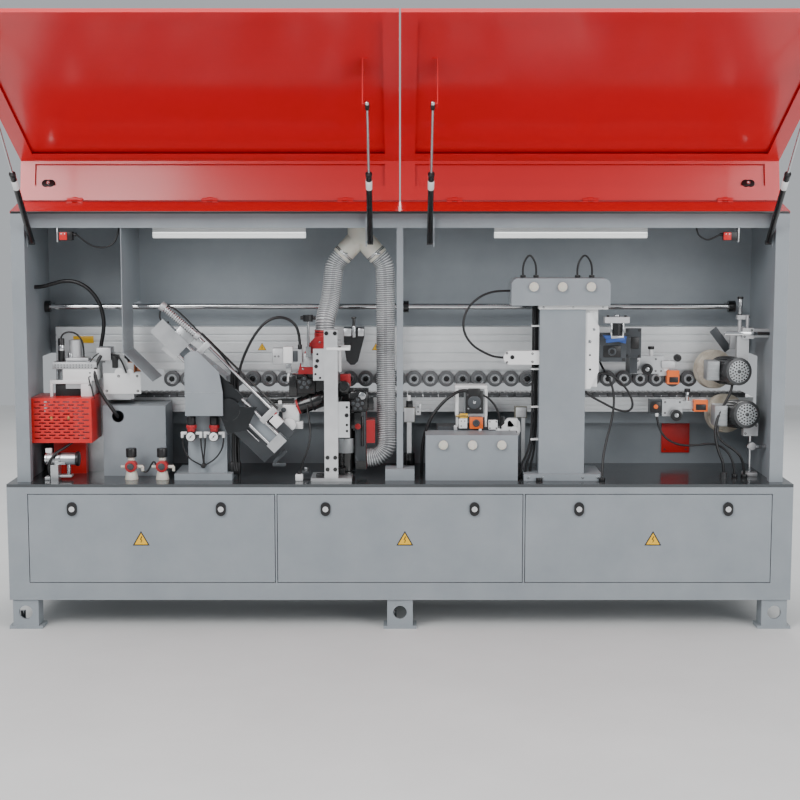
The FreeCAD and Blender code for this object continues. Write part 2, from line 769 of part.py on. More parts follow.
def hosePath(points):
    """Wire of straight runs joined by tangent arcs, with its smallest arc radius."""
    route = [Vector(*point) for point in points]
    edges = []
    start = route[0]
    tightest = None
    for index in range(1, len(route) - 1):
        before = route[index - 1] - route[index]
        after = route[index + 1] - route[index]
        reach = 0.45 * min(before.Length, after.Length)
        turn = math.pi - before.getAngle(after)
        radius = reach / math.tan(turn / 2)
        tightest = radius if tightest is None else min(tightest, radius)
        first = route[index] + before.normalize() * reach
        last = route[index] + after.normalize() * reach
        inward = (before + after).normalize()
        middle = route[index] + inward * (math.hypot(radius, reach) - radius)
        edges.append(Part.LineSegment(start, first).toShape())
        edges.append(Part.Arc(first, middle, last).toShape())
        start = last
    edges.append(Part.LineSegment(start, route[-1]).toShape())
    return Part.Wire(edges), tightest


def tube(name, points, diameter):
    """Round tube along a route, checked against its section times its length."""
    path, tightest = hosePath(points)
    first = Vector(*points[0])
    heading = Vector(*points[1]) - first
    ring = Part.Wire(Part.Circle(first, heading, diameter / 2).toShape())
    item = doc.addObject("Part::Feature", "Tube")
    item.Shape = path.makePipeShell([ring], True, False)
    expected = math.pi * diameter ** 2 / 4 * path.Length
    share = item.Shape.Volume / expected
    print(f"{name}: length {path.Length:.1f}, tightest radius {tightest:.1f}, volume share {share:.4f}")
    return item


leftDuct = (
    (-236, -68, 1452), (-260, -68, 1426), (-268, -74, 1382), (-272, -82, 1334), (-277, -94, 1288),
    (-285, -115, 1250), (-295, -136, 1217), (-300, -150, 1186), (-300, -150, 1152.3),
)
rightDuct = (
    (-86, -68, 1452), (-65.6, -68, 1428.6), (-60, -68, 1384), (-59, -69, 1320), (-58, -71, 1240), (-58, -74, 1150),
    (-58, -80, 1060), (-57, -90, 970), (-56, -104, 880), (-55, -120, 800), (-54, -135, 745), (-52, -144, 699),
    (-69, -148, 667), (-101, -150, 648), (-133, -150, 648),
)


def dustHoses():
    node("dust_hoses", group(tube("dust hose left", leftDuct, 79), tube("dust hose right", rightDuct, 79)))


# ---- profile unit ----

def profileCover():
    front = -290
    cover = box((101, 464), (front, front + 150), (size.tableTop, 757))
    hollow = box((103, 462), (front + 2, front + 151), (size.tableTop - 1, 755))
    buttons = [rod("y", (x, 719), (front - 9, front), 17.5) for x in (171, 285, 400)]
    node("profile_cover", fuse(cut(cover, hollow), *buttons))


def profileUnit():
    """Square motor in an arched frame that stands on a pedestal behind its cover."""
    pedestal = box((150, 420), (-138, -20), (size.tableTop, 770))
    motor = box((259, 337), (-150, -80), (822, 922))
    arch = [box((x, x + 9), (-140, -60), (770, 926)) for x in (226, 341)]
    top = box((226, 350), (-140, -60), (926, 936))
    shelf = box((226, 350), (-140, -60), (810, 822))
    spindle = rod("z", (298, -110), (770, 811), 14)
    insert = box((279, 331), (-150, -125), (770, 808))
    block = box((240, 270), (-150, -100), (770, 808))
    plate = box((355, 392), (-150, -136), (762, 798))
    armShape = ((396, 770), (459, 770), (473, 748), (485, 752), (482, 790), (470, 806), (432, 806))
    arm = outline("XZ", armShape, (-150, -130))
    pieces = fuse(pedestal, motor, *arch, top, shelf, spindle, insert, block, plate, arm)
    leftPost = box((28, 46), (-150, -120), (size.tableTop, 791))
    leftSensor = fuse(box((17, 60), (-150, -120), (790, 850)), leftPost)
    rightPost = box((489, 504), (-130, -100), (602, 806))
    rightSensor = fuse(box((462, 511), (-130, -100), (805, 851)), rightPost)
    node("profile_unit", group(pieces, leftSensor, rightSensor))


# ---- corner unit ----

def cornerColumn():
    front = -275
    post = box((547, 726), (front, front + 130), (602, 1251))
    base = box((488, 796), (front - 20, front + 200), (size.tableTop, 602))
    strip = box((541, 812), (front - 6, front + 40), (1251, 1267))
    plateY = (front + 20, front + 32)
    side = box((726, 776), plateY, (945, 1251))
    brace = box((600, 670), (front + 130, -8), (602, 760))
    node("corner_column", fuse(post, base, strip, side, brace))


def cornerBox():
    front = -305
    corners = (
        (433, 1267), (817, 1267), (817, 1352), (809, 1366), (797, 1372), (453, 1372), (441, 1366), (433, 1352),
    )
    body = outline("XZ", corners, (front, front + 170))
    inner = box((436, 814), (front + 3, front + 168), (1266, 1350))
    buttons = [rod("y", (x, 1340), (front - 9, front), 17.5) for x in (519, 630, 741)]
    node("corner_box", fuse(cut(body, inner), *buttons))


def cornerUnit():
    """Air cylinder, slide plates and drilled guard beside the corner column."""
    front = -255
    shape = ((726, 1238), (746, 1238), (780, 1183), (780, 1005), (748, 938), (726, 938))
    holes = ((744, 1124, 7), (745, 1071, 4), (746, 1014, 5), (760, 1172, 4))
    tools = [rod("y", (x, z), (front - 15, front + 5), radius) for x, z, radius in holes]
    guard = cut(outline("XZ", shape, (front - 12, front)), *tools)
    face = box((776, 887), (-260, -243), (1044, 1158))
    cylinder = rod("z", (847, -278), (1140, 1202), 22)
    cap = box((798, 893), (-302, -254), (1199, 1222))
    jaw = outline("XZ", ((794, 1150), (883, 1147), (880, 1119), (800, 1138)), (-300, -255))
    slide = box((776.5, 885), (-248, -190), (1050, 1150))
    link = box((880, 910), (-225, -185), (1070, 1140))
    rear = box((895, 957), (-192, -178), (1053, 1171))
    lower = fuse(box((434, 547), (-262, -232), (1033, 1087)), rod("y", (434, 1060), (-262, -232), 27))
    lower = cut(lower, rod("y", (441, 1062), (-263, -231), 9))
    node("corner_unit", group(fuse(guard, face, cylinder, cap, jaw, slide, link, rear), lower))


def scraperUnits():
    """Two scraper heads: the upper hangs from the corner unit's slide, the lower from the chain beam."""
    upper = box((936, 1062), (-120, -60), (983, 1054))
    arm = box((915, 945), (-178, -62), (990, 1080))
    knob = rod("y", (989, 1004), (-150, -119), 22)
    blade = box((1072, 1120), (-140, -100), (943, 997))
    hook = box((1040, 1080), (-118, -70), (975, 1000))
    lower = box((1057, 1139), (-120, -60), (811, 880))
    lowArm = box((1065, 1130), (-60, 45), (815, 862))
    lowKnob = rod("y", (1110, 818), (-150, -119), 22)
    lowBlade = box((1182, 1237), (-140, -100), (832, 879))
    lowHook = box((1130, 1190), (-118, -90), (840, 870))
    switch = box((1008, 1058), (-115, -70), (819, 878))
    upperHead = fuse(upper, arm, knob, blade, hook)
    lowerHead = fuse(lower, lowArm, lowKnob, lowBlade, lowHook, switch)
    node("scraper_units", group(upperHead, lowerHead))


# ---- buffing ----

def buffAxes():
    """Motor tail, wheel centre and heights of the two buffing motors."""
    return ((1339, -225, 1002), (1285, 5, 990)), ((1375, -225, 831), (1335, 5, 808))


def buffUnits():
    """Motors and their posts: the upper one hangs from a chrome post, the lower one stands on another."""
    pieces = []
    for tail, centre in buffAxes():
        start, end = Vector(*tail), Vector(*centre)
        nose = start + (end - start) * 0.72
        case = slantRod(start, nose, 54)
        shaft = slantRod(nose, end, 9)
        pieces += [case, shaft]
    posts = [rod("z", (1379, -180), (1040, 1220), 6), rod("z", (1404, -170), (size.tableTop, 790), 6)]
    clamps = [box((1356, 1400), (-202, -160), (1130, 1172)), box((1372, 1430), (-190, -150), (740, 790))]
    wallArm = box((1395, 1462), (-195, -165), (1135, 1168))
    screw = rod("z", (1353, -160), (1110, 1285), 8)
    screwClamp = box((1340, 1390), (-175, -145), (1205, 1222))
    hanger = box((1337, 1385), (-190, -160), (1030, 1140))
    upper = fuse(pieces[0], pieces[1], posts[0], clamps[0], wallArm, screw, screwClamp, hanger)
    lower = fuse(pieces[2], pieces[3], posts[1], clamps[1])
    gland = rod("z", (1288, -230), (size.tableTop, 600), 14)
    node("buff_units", group(upper, lower, gland))


def buffWheels():
    for name, (tail, centre) in zip(("upper_buff_wheel", "lower_buff_wheel"), buffAxes()):
        start, end = Vector(*tail), Vector(*centre)
        step = (end - start).normalize()
        disc = slantRod(end - step * 20, end + step * 20, 80)
        bore = slantRod(end - step * 21, end + step * 2, 9 + sizes["runFit"])
        node(name, cut(disc, bore))


# ---- air preparation ----

def regulators():
    pieces = []
    for x in (-1062, -940):
        foot = box((x - 24, x + 24), (-290, -240), (size.tableTop, 590))
        bowl = rod("z", (x, -265), (590, 660), 20)
        collar = rod("z", (x, -265), (660, 676), 24)
        knob = rod("z", (x, -265), (676, 706), 19, 16)
        pieces.append(fuse(foot, bowl, collar, knob))
    for x in (-822, -732):
        pieces.append(fuse(
            box((x - 22, x + 22), (-290, -245), (745, 800)),
            rod("z", (x, -268), (800, 812), 22),
            rod("z", (x, -268), (812, 842), 18, 15),
            rod("y", (x, 772), (-302, -290), 16),
        ))
    node("regulators", group(*pieces))


# ---- hoses and cables ----

glueHosePoints = (
    (-1462, -115, 1331), (-1434, -115, 1331), (-1390, -115, 1344), (-1345, -120, 1356), (-1295, -125, 1354),
    (-1250, -128, 1332), (-1215, -130, 1295), (-1193, -128, 1248), (-1186, -116, 1195), (-1194, -98, 1145),
    (-1206, -82, 1100), (-1212, -76, 1070), (-1212, -76, 1040),
)
endcutCablePoints = (
    (-642, -215, 577), (-642, -215, 640), (-646, -213, 730), (-641, -214, 830), (-645, -216, 925),
    (-636, -222, 1010), (-608, -228, 1085), (-572, -232, 1150), (-528, -232, 1202), (-470, -230, 1222),
    (-414, -222, 1196), (-396, -208, 1140), (-396, -208, 1090),
)
loopCablePoints = (
    (433, -225, 1321), (400, -225, 1321), (355, -228, 1316), (305, -232, 1294), (264, -238, 1252),
    (246, -243, 1200), (254, -247, 1148), (287, -250, 1105), (333, -250, 1078), (376, -247, 1060), (407, -247, 1060),
)
buffCablePoints = (
    (1326, -170, 943.2), (1323, -172.5, 916), (1300, -180, 876), (1272, -190, 830), (1256, -200, 776),
    (1258, -212, 722), (1270, -222, 674), (1288, -230, 634), (1288, -230, 600),
)


def cables():
    node("glue_hose", tube("glue hose", glueHosePoints, 16))
    node("endcut_cable", tube("end cut cable", endcutCablePoints, 11))
    node("loop_cable", tube("loop cable", loopCablePoints, 9))
    node("buff_cable", tube("buff cable", buffCablePoints, 11))


# ---- make and write everything ----

builders = (
    baseCabinet, tablePlate, doors, feet, sideWalls, headerFrame, topFascia, rearHousing, bafflePlate, lamps,
    guideBar, hoods, struts, chainBeam, chainPads, feedMotor, pressureBeam, pressureRollers, glueGuard,
    glueCover, glueHead, glueRoller, endcutColumn, endcutGuide, endcutCarriage, trimColumn, trimUnitUpper,
    trimUnitLower, trimKnobs, ductTee, dustHoses, profileCover, profileUnit, cornerColumn, cornerBox, cornerUnit,
    scraperUnits, buffUnits, buffWheels, regulators, cables,
)
for build in builders:
    build()
doc.recompute()

faults = [item.Name for item in doc.Objects if "Invalid" in item.State or "Error" in item.State]
faults += [name for name, item in nodes.items() if item.Shape.isNull() or not item.Shape.isValid()]
if faults:
    raise SystemExit(f"Failed objects: {faults}")
os.makedirs("parts", exist_ok=True)
for name, item in nodes.items():
    item.Shape.exportStep(f"parts/{name}.step")
print(f"{len(nodes)} sub-parts written")
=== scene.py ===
import math
import random
import bpy
from mathutils import Matrix, Vector


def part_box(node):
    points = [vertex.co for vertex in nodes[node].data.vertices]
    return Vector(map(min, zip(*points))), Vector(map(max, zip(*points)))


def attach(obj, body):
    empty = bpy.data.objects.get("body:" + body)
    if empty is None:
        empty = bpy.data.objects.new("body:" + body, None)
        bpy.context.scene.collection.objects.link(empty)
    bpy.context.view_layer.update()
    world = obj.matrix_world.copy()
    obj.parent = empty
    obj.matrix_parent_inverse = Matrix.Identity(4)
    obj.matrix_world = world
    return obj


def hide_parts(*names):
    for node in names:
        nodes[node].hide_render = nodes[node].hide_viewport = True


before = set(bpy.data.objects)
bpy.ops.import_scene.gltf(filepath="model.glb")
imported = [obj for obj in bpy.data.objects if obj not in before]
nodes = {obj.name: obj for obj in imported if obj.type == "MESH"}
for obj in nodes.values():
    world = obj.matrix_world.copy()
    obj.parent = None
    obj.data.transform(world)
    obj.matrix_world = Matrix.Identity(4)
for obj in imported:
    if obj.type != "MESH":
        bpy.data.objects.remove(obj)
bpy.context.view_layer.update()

bpy.ops.object.select_all(action="DESELECT")
print("frame loaded:", len(nodes), "nodes")

# camera
cameraSetup = {
    "place": (0.0, -6.325, 1.6),  # metres in front of the machine, at eye height
    "pitchDown": 6.65,
    "lens": 69.75,
    "sensor": 36.0,
}


def makeCamera(setup):
    data = bpy.data.cameras.new("studioCamera")
    data.lens = setup["lens"]
    data.sensor_width = setup["sensor"]
    camera = bpy.data.objects.new("studioCamera", data)
    bpy.context.scene.collection.objects.link(camera)
    camera.location = setup["place"]
    camera.rotation_euler = (math.radians(90 - setup["pitchDown"]), 0, 0)
    bpy.context.scene.camera = camera


makeCamera(cameraSetup)


# shared shader groups
def newGroup(name, inputs, outputs):
    group = bpy.data.node_groups.new(name, "ShaderNodeTree")
    for label, kind, value in inputs:
        socket = group.interface.new_socket(name=label, in_out="INPUT", socket_type=kind)
        socket.default_value = value
    for label, kind in outputs:
        group.interface.new_socket(name=label, in_out="OUTPUT", socket_type=kind)
    return group, group.nodes.new("NodeGroupInput"), group.nodes.new("NodeGroupOutput")


def addNode(tree, kind, **values):
    node = tree.nodes.new(kind)
    for name, value in values.items():
        if hasattr(node, name):
            setattr(node, name, value)
        else:
            node.inputs[name.replace("_", " ")].default_value = value
    return node


def mixColour(tree, factor, first, second, blend="MIX"):
    node = tree.nodes.new("ShaderNodeMix")
    node.data_type = "RGBA"
    node.blend_type = blend
    for socket, value in ((node.inputs[0], factor), (node.inputs[6], first), (node.inputs[7], second)):
        if isinstance(value, bpy.types.NodeSocket):
            tree.links.new(value, socket)
        else:
            socket.default_value = value
    return node.outputs[2]


def calculate(tree, operation, first, second=None, clamp=False):
    node = tree.nodes.new("ShaderNodeMath")
    node.operation = operation
    node.use_clamp = clamp
    for socket, value in zip(node.inputs, (first, second)):
        if isinstance(value, bpy.types.NodeSocket):
            tree.links.new(value, socket)
        elif value is not None:
            socket.default_value = value
    return node.outputs[0]


def rampBetween(tree, value, low, high):
    # value stretched so that low gives 0 and high gives 1
    node = tree.nodes.new("ShaderNodeMapRange")
    tree.links.new(value, node.inputs["Value"])
    node.inputs["From Min"].default_value = low
    node.inputs["From Max"].default_value = high
    return node.outputs["Result"]


def makeWearAndHighlightGroup():
    # mask of the edges where paint thins and where a painted highlight lightens them, broken up by noise
    group, given, result = newGroup(
        "edgeWearAndHighlightMask",
        (("Radius", "NodeSocketFloat", 0.002), ("Breakup", "NodeSocketFloat", 60.0)),
        (("Mask", "NodeSocketFloat"),),
    )
    bevel = addNode(group, "ShaderNodeBevel", samples=3)
    group.links.new(given.outputs["Radius"], bevel.inputs["Radius"])
    flat = group.nodes.new("ShaderNodeNewGeometry")
    dot = addNode(group, "ShaderNodeVectorMath", operation="DOT_PRODUCT")
    group.links.new(bevel.outputs[0], dot.inputs[0])
    group.links.new(flat.outputs["Normal"], dot.inputs[1])
    edge = rampBetween(group, dot.outputs["Value"], 0.985, 0.86)
    where = group.nodes.new("ShaderNodeTexCoord")
    noise = addNode(group, "ShaderNodeTexNoise", Detail=4.0)
    group.links.new(where.outputs["Object"], noise.inputs["Vector"])
    group.links.new(given.outputs["Breakup"], noise.inputs["Scale"])
    patches = rampBetween(group, noise.outputs["Fac"], 0.42, 0.62)
    mask = calculate(group, "MULTIPLY", edge, patches, clamp=True)
    group.links.new(mask, result.inputs["Mask"])
    return group


def makeDustGroup():
    # fine dust that gathers on faces that look up, with a soft overall unevenness
    group, given, result = newGroup(
        "workshopDust",
        (("Amount", "NodeSocketFloat", 0.3), ("Scale", "NodeSocketFloat", 7.0)),
        (("Mask", "NodeSocketFloat"), ("Unevenness", "NodeSocketFloat")),
    )
    where = group.nodes.new("ShaderNodeTexCoord")
    wide = addNode(group, "ShaderNodeTexNoise", Detail=5.0, Roughness=0.62)
    group.links.new(where.outputs["Object"], wide.inputs["Vector"])
    group.links.new(given.outputs["Scale"], wide.inputs["Scale"])
    flat = group.nodes.new("ShaderNodeNewGeometry")
    split = group.nodes.new("ShaderNodeSeparateXYZ")
    group.links.new(flat.outputs["Normal"], split.inputs[0])
    upward = rampBetween(group, split.outputs["Z"], 0.25, 0.95)
    spread = rampBetween(group, wide.outputs["Fac"], 0.35, 0.72)
    mask = calculate(group, "MULTIPLY", upward, spread, clamp=True)
    mask = calculate(group, "MULTIPLY", mask, given.outputs["Amount"], clamp=True)
    group.links.new(mask, result.inputs["Mask"])
    group.links.new(wide.outputs["Fac"], result.inputs["Unevenness"])
    return group


def makeGrainGroup():
    # surface grain: stretched along X, Y or Z when the stretch says so, else even
    group, given, result = newGroup(
        "surfaceGrain",
        (("Scale", "NodeSocketFloat", 300.0), ("Stretch", "NodeSocketVector", (1.0, 1.0, 1.0))),
        (("Height", "NodeSocketFloat"),),
    )
    where = group.nodes.new("ShaderNodeTexCoord")
    squeeze = addNode(group, "ShaderNodeVectorMath", operation="MULTIPLY")
    group.links.new(where.outputs["Object"], squeeze.inputs[0])
    group.links.new(given.outputs["Stretch"], squeeze.inputs[1])
    noise = addNode(group, "ShaderNodeTexNoise", Detail=3.0, Roughness=0.55)
    group.links.new(squeeze.outputs[0], noise.inputs["Vector"])
    group.links.new(given.outputs["Scale"], noise.inputs["Scale"])
    group.links.new(noise.outputs["Fac"], result.inputs["Height"])
    return group


wearAndHighlightGroup = makeWearAndHighlightGroup()
dustGroup = makeDustGroup()
grainGroup = makeGrainGroup()


def useGroup(tree, group, **values):
    node = tree.nodes.new("ShaderNodeGroup")
    node.node_tree = group
    for name, value in values.items():
        node.inputs[name].default_value = value
    return node


# finishes
# colour and shade: the two tones it varies between. grain: fineness, relief and stretch of its texture.
# edge tone: how far the edges go towards a lighter colour, partly worn paint and partly a painted highlight
finishes = {
    "bodyGrey": {"colour": (0.270, 0.298, 0.322), "shade": (0.235, 0.262, 0.286), "rough": 0.42,
                 "grain": (900, 0.05, (1, 1, 1)), "wearAndHighlight": 0.5, "bareAndHighlightColour": (0.42, 0.44, 0.46), "dust": 0.16},
    "hoodRed": {"colour": (0.62, 0.008, 0.014), "shade": (0.60, 0.008, 0.013), "rough": 0.26, "vary": 0.015,
                "grain": (700, 0.03, (1, 1, 1)), "coat": 0.35},
    "tableDark": {"colour": (0.090, 0.098, 0.104), "shade": (0.074, 0.081, 0.087), "rough": 0.15,
                  "grain": (40, 0.02, (1, 9, 1)), "metal": 0.6, "dust": 0.04},
    "beamWhite": {"colour": (0.80, 0.82, 0.83), "shade": (0.70, 0.72, 0.73), "rough": 0.36,
                  "grain": (160, 0.06, (0.04, 1, 1)), "metal": 0.35, "dust": 0.10},
    "alloy": {"colour": (0.66, 0.67, 0.68), "shade": (0.50, 0.51, 0.52), "rough": 0.33,
              "grain": (260, 0.10, (0.08, 1, 1)), "metal": 0.9, "wearAndHighlight": 0.3, "bareAndHighlightColour": (0.85, 0.85, 0.86)},
    "alloyUpright": {"colour": (0.82, 0.83, 0.84), "shade": (0.68, 0.69, 0.70), "rough": 0.30,
                     "grain": (260, 0.08, (1, 1, 0.06)), "metal": 0.75, "wearAndHighlight": 0.3,
                     "bareAndHighlightColour": (0.85, 0.85, 0.86)},
    "castAlloy": {"colour": (0.60, 0.61, 0.62), "shade": (0.45, 0.46, 0.47), "rough": 0.5,
                  "grain": (420, 0.35, (1, 1, 1)), "metal": 0.7, "wearAndHighlight": 0.5, "bareAndHighlightColour": (0.8, 0.8, 0.8)},
    "darkPlate": {"colour": (0.072, 0.080, 0.088), "shade": (0.050, 0.056, 0.062), "rough": 0.40,
                  "grain": (500, 0.08, (1, 1, 1)), "metal": 0.3, "wearAndHighlight": 0.6, "bareAndHighlightColour": (0.32, 0.33, 0.34),
                  "dust": 0.1},
    "chrome": {"colour": (0.74, 0.75, 0.76), "shade": (0.62, 0.63, 0.64), "rough": 0.09,
               "grain": (600, 0.02, (1, 1, 1)), "metal": 1.0},
    "groundSteel": {"colour": (0.50, 0.51, 0.52), "shade": (0.36, 0.37, 0.38), "rough": 0.26,
                    "grain": (380, 0.10, (0.1, 1, 1)), "metal": 1.0, "wearAndHighlight": 0.3, "bareAndHighlightColour": (0.75, 0.75, 0.75)},
    "castRed": {"colour": (0.46, 0.012, 0.018), "shade": (0.34, 0.008, 0.012), "rough": 0.42,
                "grain": (260, 0.30, (1, 1, 1)), "wearAndHighlight": 0.7, "bareAndHighlightColour": (0.55, 0.30, 0.28), "dust": 0.18},
    "brightRed": {"colour": (0.66, 0.012, 0.012), "shade": (0.54, 0.010, 0.010), "rough": 0.38,
                  "grain": (400, 0.06, (1, 1, 1)), "wearAndHighlight": 0.4, "bareAndHighlightColour": (0.75, 0.25, 0.22)},
    "blackPlastic": {"colour": (0.011, 0.011, 0.012), "shade": (0.007, 0.007, 0.008), "rough": 0.34,
                     "grain": (700, 0.10, (1, 1, 1)), "dust": 0.02},
    "blackGloss": {"colour": (0.030, 0.033, 0.036), "shade": (0.018, 0.020, 0.022), "rough": 0.20,
                   "grain": (400, 0.04, (1, 1, 1)), "metal": 0.5, "wearAndHighlight": 0.6, "bareAndHighlightColour": (0.3, 0.3, 0.3)},
    "motorDark": {"colour": (0.060, 0.062, 0.064), "shade": (0.036, 0.038, 0.040), "rough": 0.34,
                  "grain": (380, 0.14, (1, 1, 1)), "metal": 0.3, "wearAndHighlight": 0.5, "bareAndHighlightColour": (0.42, 0.43, 0.44)},
    "blackPaint": {"colour": (0.008, 0.008, 0.009), "shade": (0.005, 0.005, 0.005), "rough": 0.22,
                   "grain": (500, 0.03, (1, 1, 1)), "coat": 0.4},
    "blackRubber": {"colour": (0.009, 0.009, 0.010), "shade": (0.005, 0.005, 0.006), "rough": 0.38,
                    "grain": (900, 0.10, (1, 1, 1))},
    "rollerRubber": {"colour": (0.155, 0.162, 0.168), "shade": (0.105, 0.110, 0.115), "rough": 0.62,
                     "grain": (500, 0.20, (1, 1, 1)), "dust": 0.15},
    "padRubber": {"colour": (0.115, 0.12, 0.125), "shade": (0.082, 0.086, 0.09), "rough": 0.6,
                  "grain": (260, 0.16, (1, 1, 1)), "dust": 0.08},
    # chain link steel, darkened to a painted shade under the pads
    "linkSteelInPaintedShade": {"colour": (0.17, 0.175, 0.18), "shade": (0.12, 0.125, 0.13), "rough": 0.42,
                  "grain": (380, 0.08, (0.1, 1, 1)), "metal": 0.7},
    "motorGrey": {"colour": (0.40, 0.42, 0.43), "shade": (0.32, 0.34, 0.35), "rough": 0.42,
                  "grain": (380, 0.14, (1, 1, 1)), "metal": 0.25, "wearAndHighlight": 0.5, "bareAndHighlightColour": (0.62, 0.63, 0.64),
                  "dust": 0.15},
    "creamPlastic": {"colour": (0.66, 0.64, 0.57), "shade": (0.58, 0.56, 0.49), "rough": 0.40,
                     "grain": (600, 0.05, (1, 1, 1)), "dust": 0.05, "under": 0.12},
    "whitePlastic": {"colour": (0.82, 0.83, 0.83), "shade": (0.74, 0.75, 0.75), "rough": 0.36,
                     "grain": (600, 0.05, (1, 1, 1))},
    "olivePlate": {"colour": (0.20, 0.195, 0.15), "shade": (0.15, 0.147, 0.115), "rough": 0.45,
                   "grain": (400, 0.1, (1, 1, 1)), "metal": 0.4},
    "orangePlastic": {"colour": (0.85, 0.16, 0.02), "shade": (0.72, 0.12, 0.015), "rough": 0.36,
                      "grain": (600, 0.05, (1, 1, 1))},
    "bluePlastic": {"colour": (0.03, 0.09, 0.32), "shade": (0.02, 0.06, 0.24), "rough": 0.36,
                    "grain": (600, 0.05, (1, 1, 1))},
    "yellowFilm": {"colour": (0.90, 0.52, 0.015), "shade": (0.80, 0.45, 0.012), "rough": 0.32,
                   "grain": (600, 0.03, (1, 1, 1))},
    "copperOld": {"colour": (0.42, 0.19, 0.10), "shade": (0.24, 0.10, 0.06), "rough": 0.42,
                  "grain": (240, 0.2, (1, 1, 1)), "metal": 0.9},
    "brassYellow": {"colour": (0.62, 0.44, 0.16), "shade": (0.46, 0.32, 0.11), "rough": 0.3,
                    "grain": (300, 0.08, (1, 1, 1)), "metal": 0.95},
}


def makeFinish(name, look):
    material = bpy.data.materials.new(name)
    material.use_nodes = True
    tree = material.node_tree
    shader = tree.nodes["Principled BSDF"]
    shader.inputs["Metallic"].default_value = look.get("metal", 0.0)
    shader.inputs["Coat Weight"].default_value = look.get("coat", 0.0)
    shader.inputs["Coat Roughness"].default_value = 0.12
    shader.inputs["Subsurface Weight"].default_value = look.get("under", 0.0)
    shader.inputs["Subsurface Scale"].default_value = 0.004
    dust = useGroup(tree, dustGroup, Amount=look.get("dust", 0.0))
    uneven = rampBetween(tree, dust.outputs["Unevenness"], 0.3, 0.7)
    colour = mixColour(tree, uneven, look["shade"] + (1,), look["colour"] + (1,))
    rough = calculate(tree, "MULTIPLY_ADD", uneven, look.get("vary", 0.10))
    rough.node.inputs[2].default_value = look["rough"] - look.get("vary", 0.10) / 2
    # edges mixed towards the lighter bare colour: partly worn paint, partly a painted highlight
    if look.get("wearAndHighlight"):
        wearAndHighlight = useGroup(tree, wearAndHighlightGroup)
        strength = calculate(tree, "MULTIPLY", wearAndHighlight.outputs["Mask"], look["wearAndHighlight"])
        colour = mixColour(tree, strength, colour, look["bareAndHighlightColour"] + (1,))
    if look.get("dust"):
        colour = mixColour(tree, dust.outputs["Mask"], colour, (0.52, 0.49, 0.44, 1))
        rough = calculate(tree, "ADD", rough, calculate(tree, "MULTIPLY", dust.outputs["Mask"], 0.4),
                          clamp=True)
    tree.links.new(colour, shader.inputs["Base Color"])
    tree.links.new(rough, shader.inputs["Roughness"])
    fineness, relief, stretch = look["grain"]
    grain = useGroup(tree, grainGroup, Scale=float(fineness), Stretch=stretch)
    bump = tree.nodes.new("ShaderNodeBump")
    bump.inputs["Strength"].default_value = relief
    bump.inputs["Distance"].default_value = 0.002
    tree.links.new(grain.outputs["Height"], bump.inputs["Height"])
    tree.links.new(bump.outputs[0], shader.inputs["Normal"])
    return material


materials = {name: makeFinish(name, look) for name, look in finishes.items()}


def makeLampGlass():
    # opal tube that glows faintly, its tone varying at random
    material = bpy.data.materials.new("lampOpal")
    material.use_nodes = True
    tree = material.node_tree
    shader = tree.nodes["Principled BSDF"]
    shader.inputs["Roughness"].default_value = 0.3
    dust = useGroup(tree, dustGroup, Amount=0.0, Scale=3.0)
    colour = mixColour(tree, dust.outputs["Unevenness"], (0.86, 0.88, 0.88, 1), (0.95, 0.96, 0.95, 1))
    tree.links.new(colour, shader.inputs["Base Color"])
    tree.links.new(colour, shader.inputs["Emission Color"])
    shader.inputs["Emission Strength"].default_value = 0.8
    return material


def makeHoseFilm(name, dark, light):
    # wall or spiral of the clear hose
    material = bpy.data.materials.new(name)
    material.use_nodes = True
    tree = material.node_tree
    shader = tree.nodes["Principled BSDF"]
    shader.inputs["Coat Weight"].default_value = 0.3
    dust = useGroup(tree, dustGroup, Amount=0.0, Scale=11.0)
    uneven = rampBetween(tree, dust.outputs["Unevenness"], 0.3, 0.7)
    colour = mixColour(tree, uneven, dark + (1,), light + (1,))
    tree.links.new(colour, shader.inputs["Base Color"])
    rough = rampBetween(tree, uneven, -1.2, 3.2)
    tree.links.new(rough, shader.inputs["Roughness"])
    return material


def makeBuffCloth():
    # stacked cotton: threads round the wheel, with darker use marks
    material = bpy.data.materials.new("buffCloth")
    material.use_nodes = True
    tree = material.node_tree
    shader = tree.nodes["Principled BSDF"]
    shader.inputs["Roughness"].default_value = 0.95
    shader.inputs["Sheen Weight"].default_value = 0.4
    dust = useGroup(tree, dustGroup, Amount=0.0, Scale=30.0)
    uneven = rampBetween(tree, dust.outputs["Unevenness"], 0.3, 0.7)
    colour = mixColour(tree, uneven, (0.50, 0.44, 0.34, 1), (0.76, 0.71, 0.60, 1))
    tree.links.new(colour, shader.inputs["Base Color"])
    grain = useGroup(tree, grainGroup, Scale=900.0)
    bump = tree.nodes.new("ShaderNodeBump")
    bump.inputs["Strength"].default_value = 0.8
    bump.inputs["Distance"].default_value = 0.002
    tree.links.new(grain.outputs["Height"], bump.inputs["Height"])
    tree.links.new(bump.outputs[0], shader.inputs["Normal"])
    return material


materials["lampOpal"] = makeLampGlass()
materials["hoseFilm"] = makeHoseFilm("hoseFilm", (0.14, 0.145, 0.15), (0.27, 0.28, 0.29))
materials["hoseRing"] = makeHoseFilm("hoseRing", (0.50, 0.52, 0.53), (0.74, 0.76, 0.77))
materials["buffCloth"] = makeBuffCloth()
print("finishes made:", len(materials))


# modelling helpers, all sizes in millimetres
mm = 0.001
side = {"x": Vector((1, 0, 0)), "y": Vector((0, 1, 0)), "z": Vector((0, 0, 1))}


def selectOnly(piece):
    bpy.ops.object.select_all(action="DESELECT")
    piece.select_set(True)
    bpy.context.view_layer.objects.active = piece


def settle(piece):
    # moves the piece's place and turn into its mesh
    selectOnly(piece)
    bpy.ops.object.transform_apply(location=True, rotation=True, scale=True)
    return piece


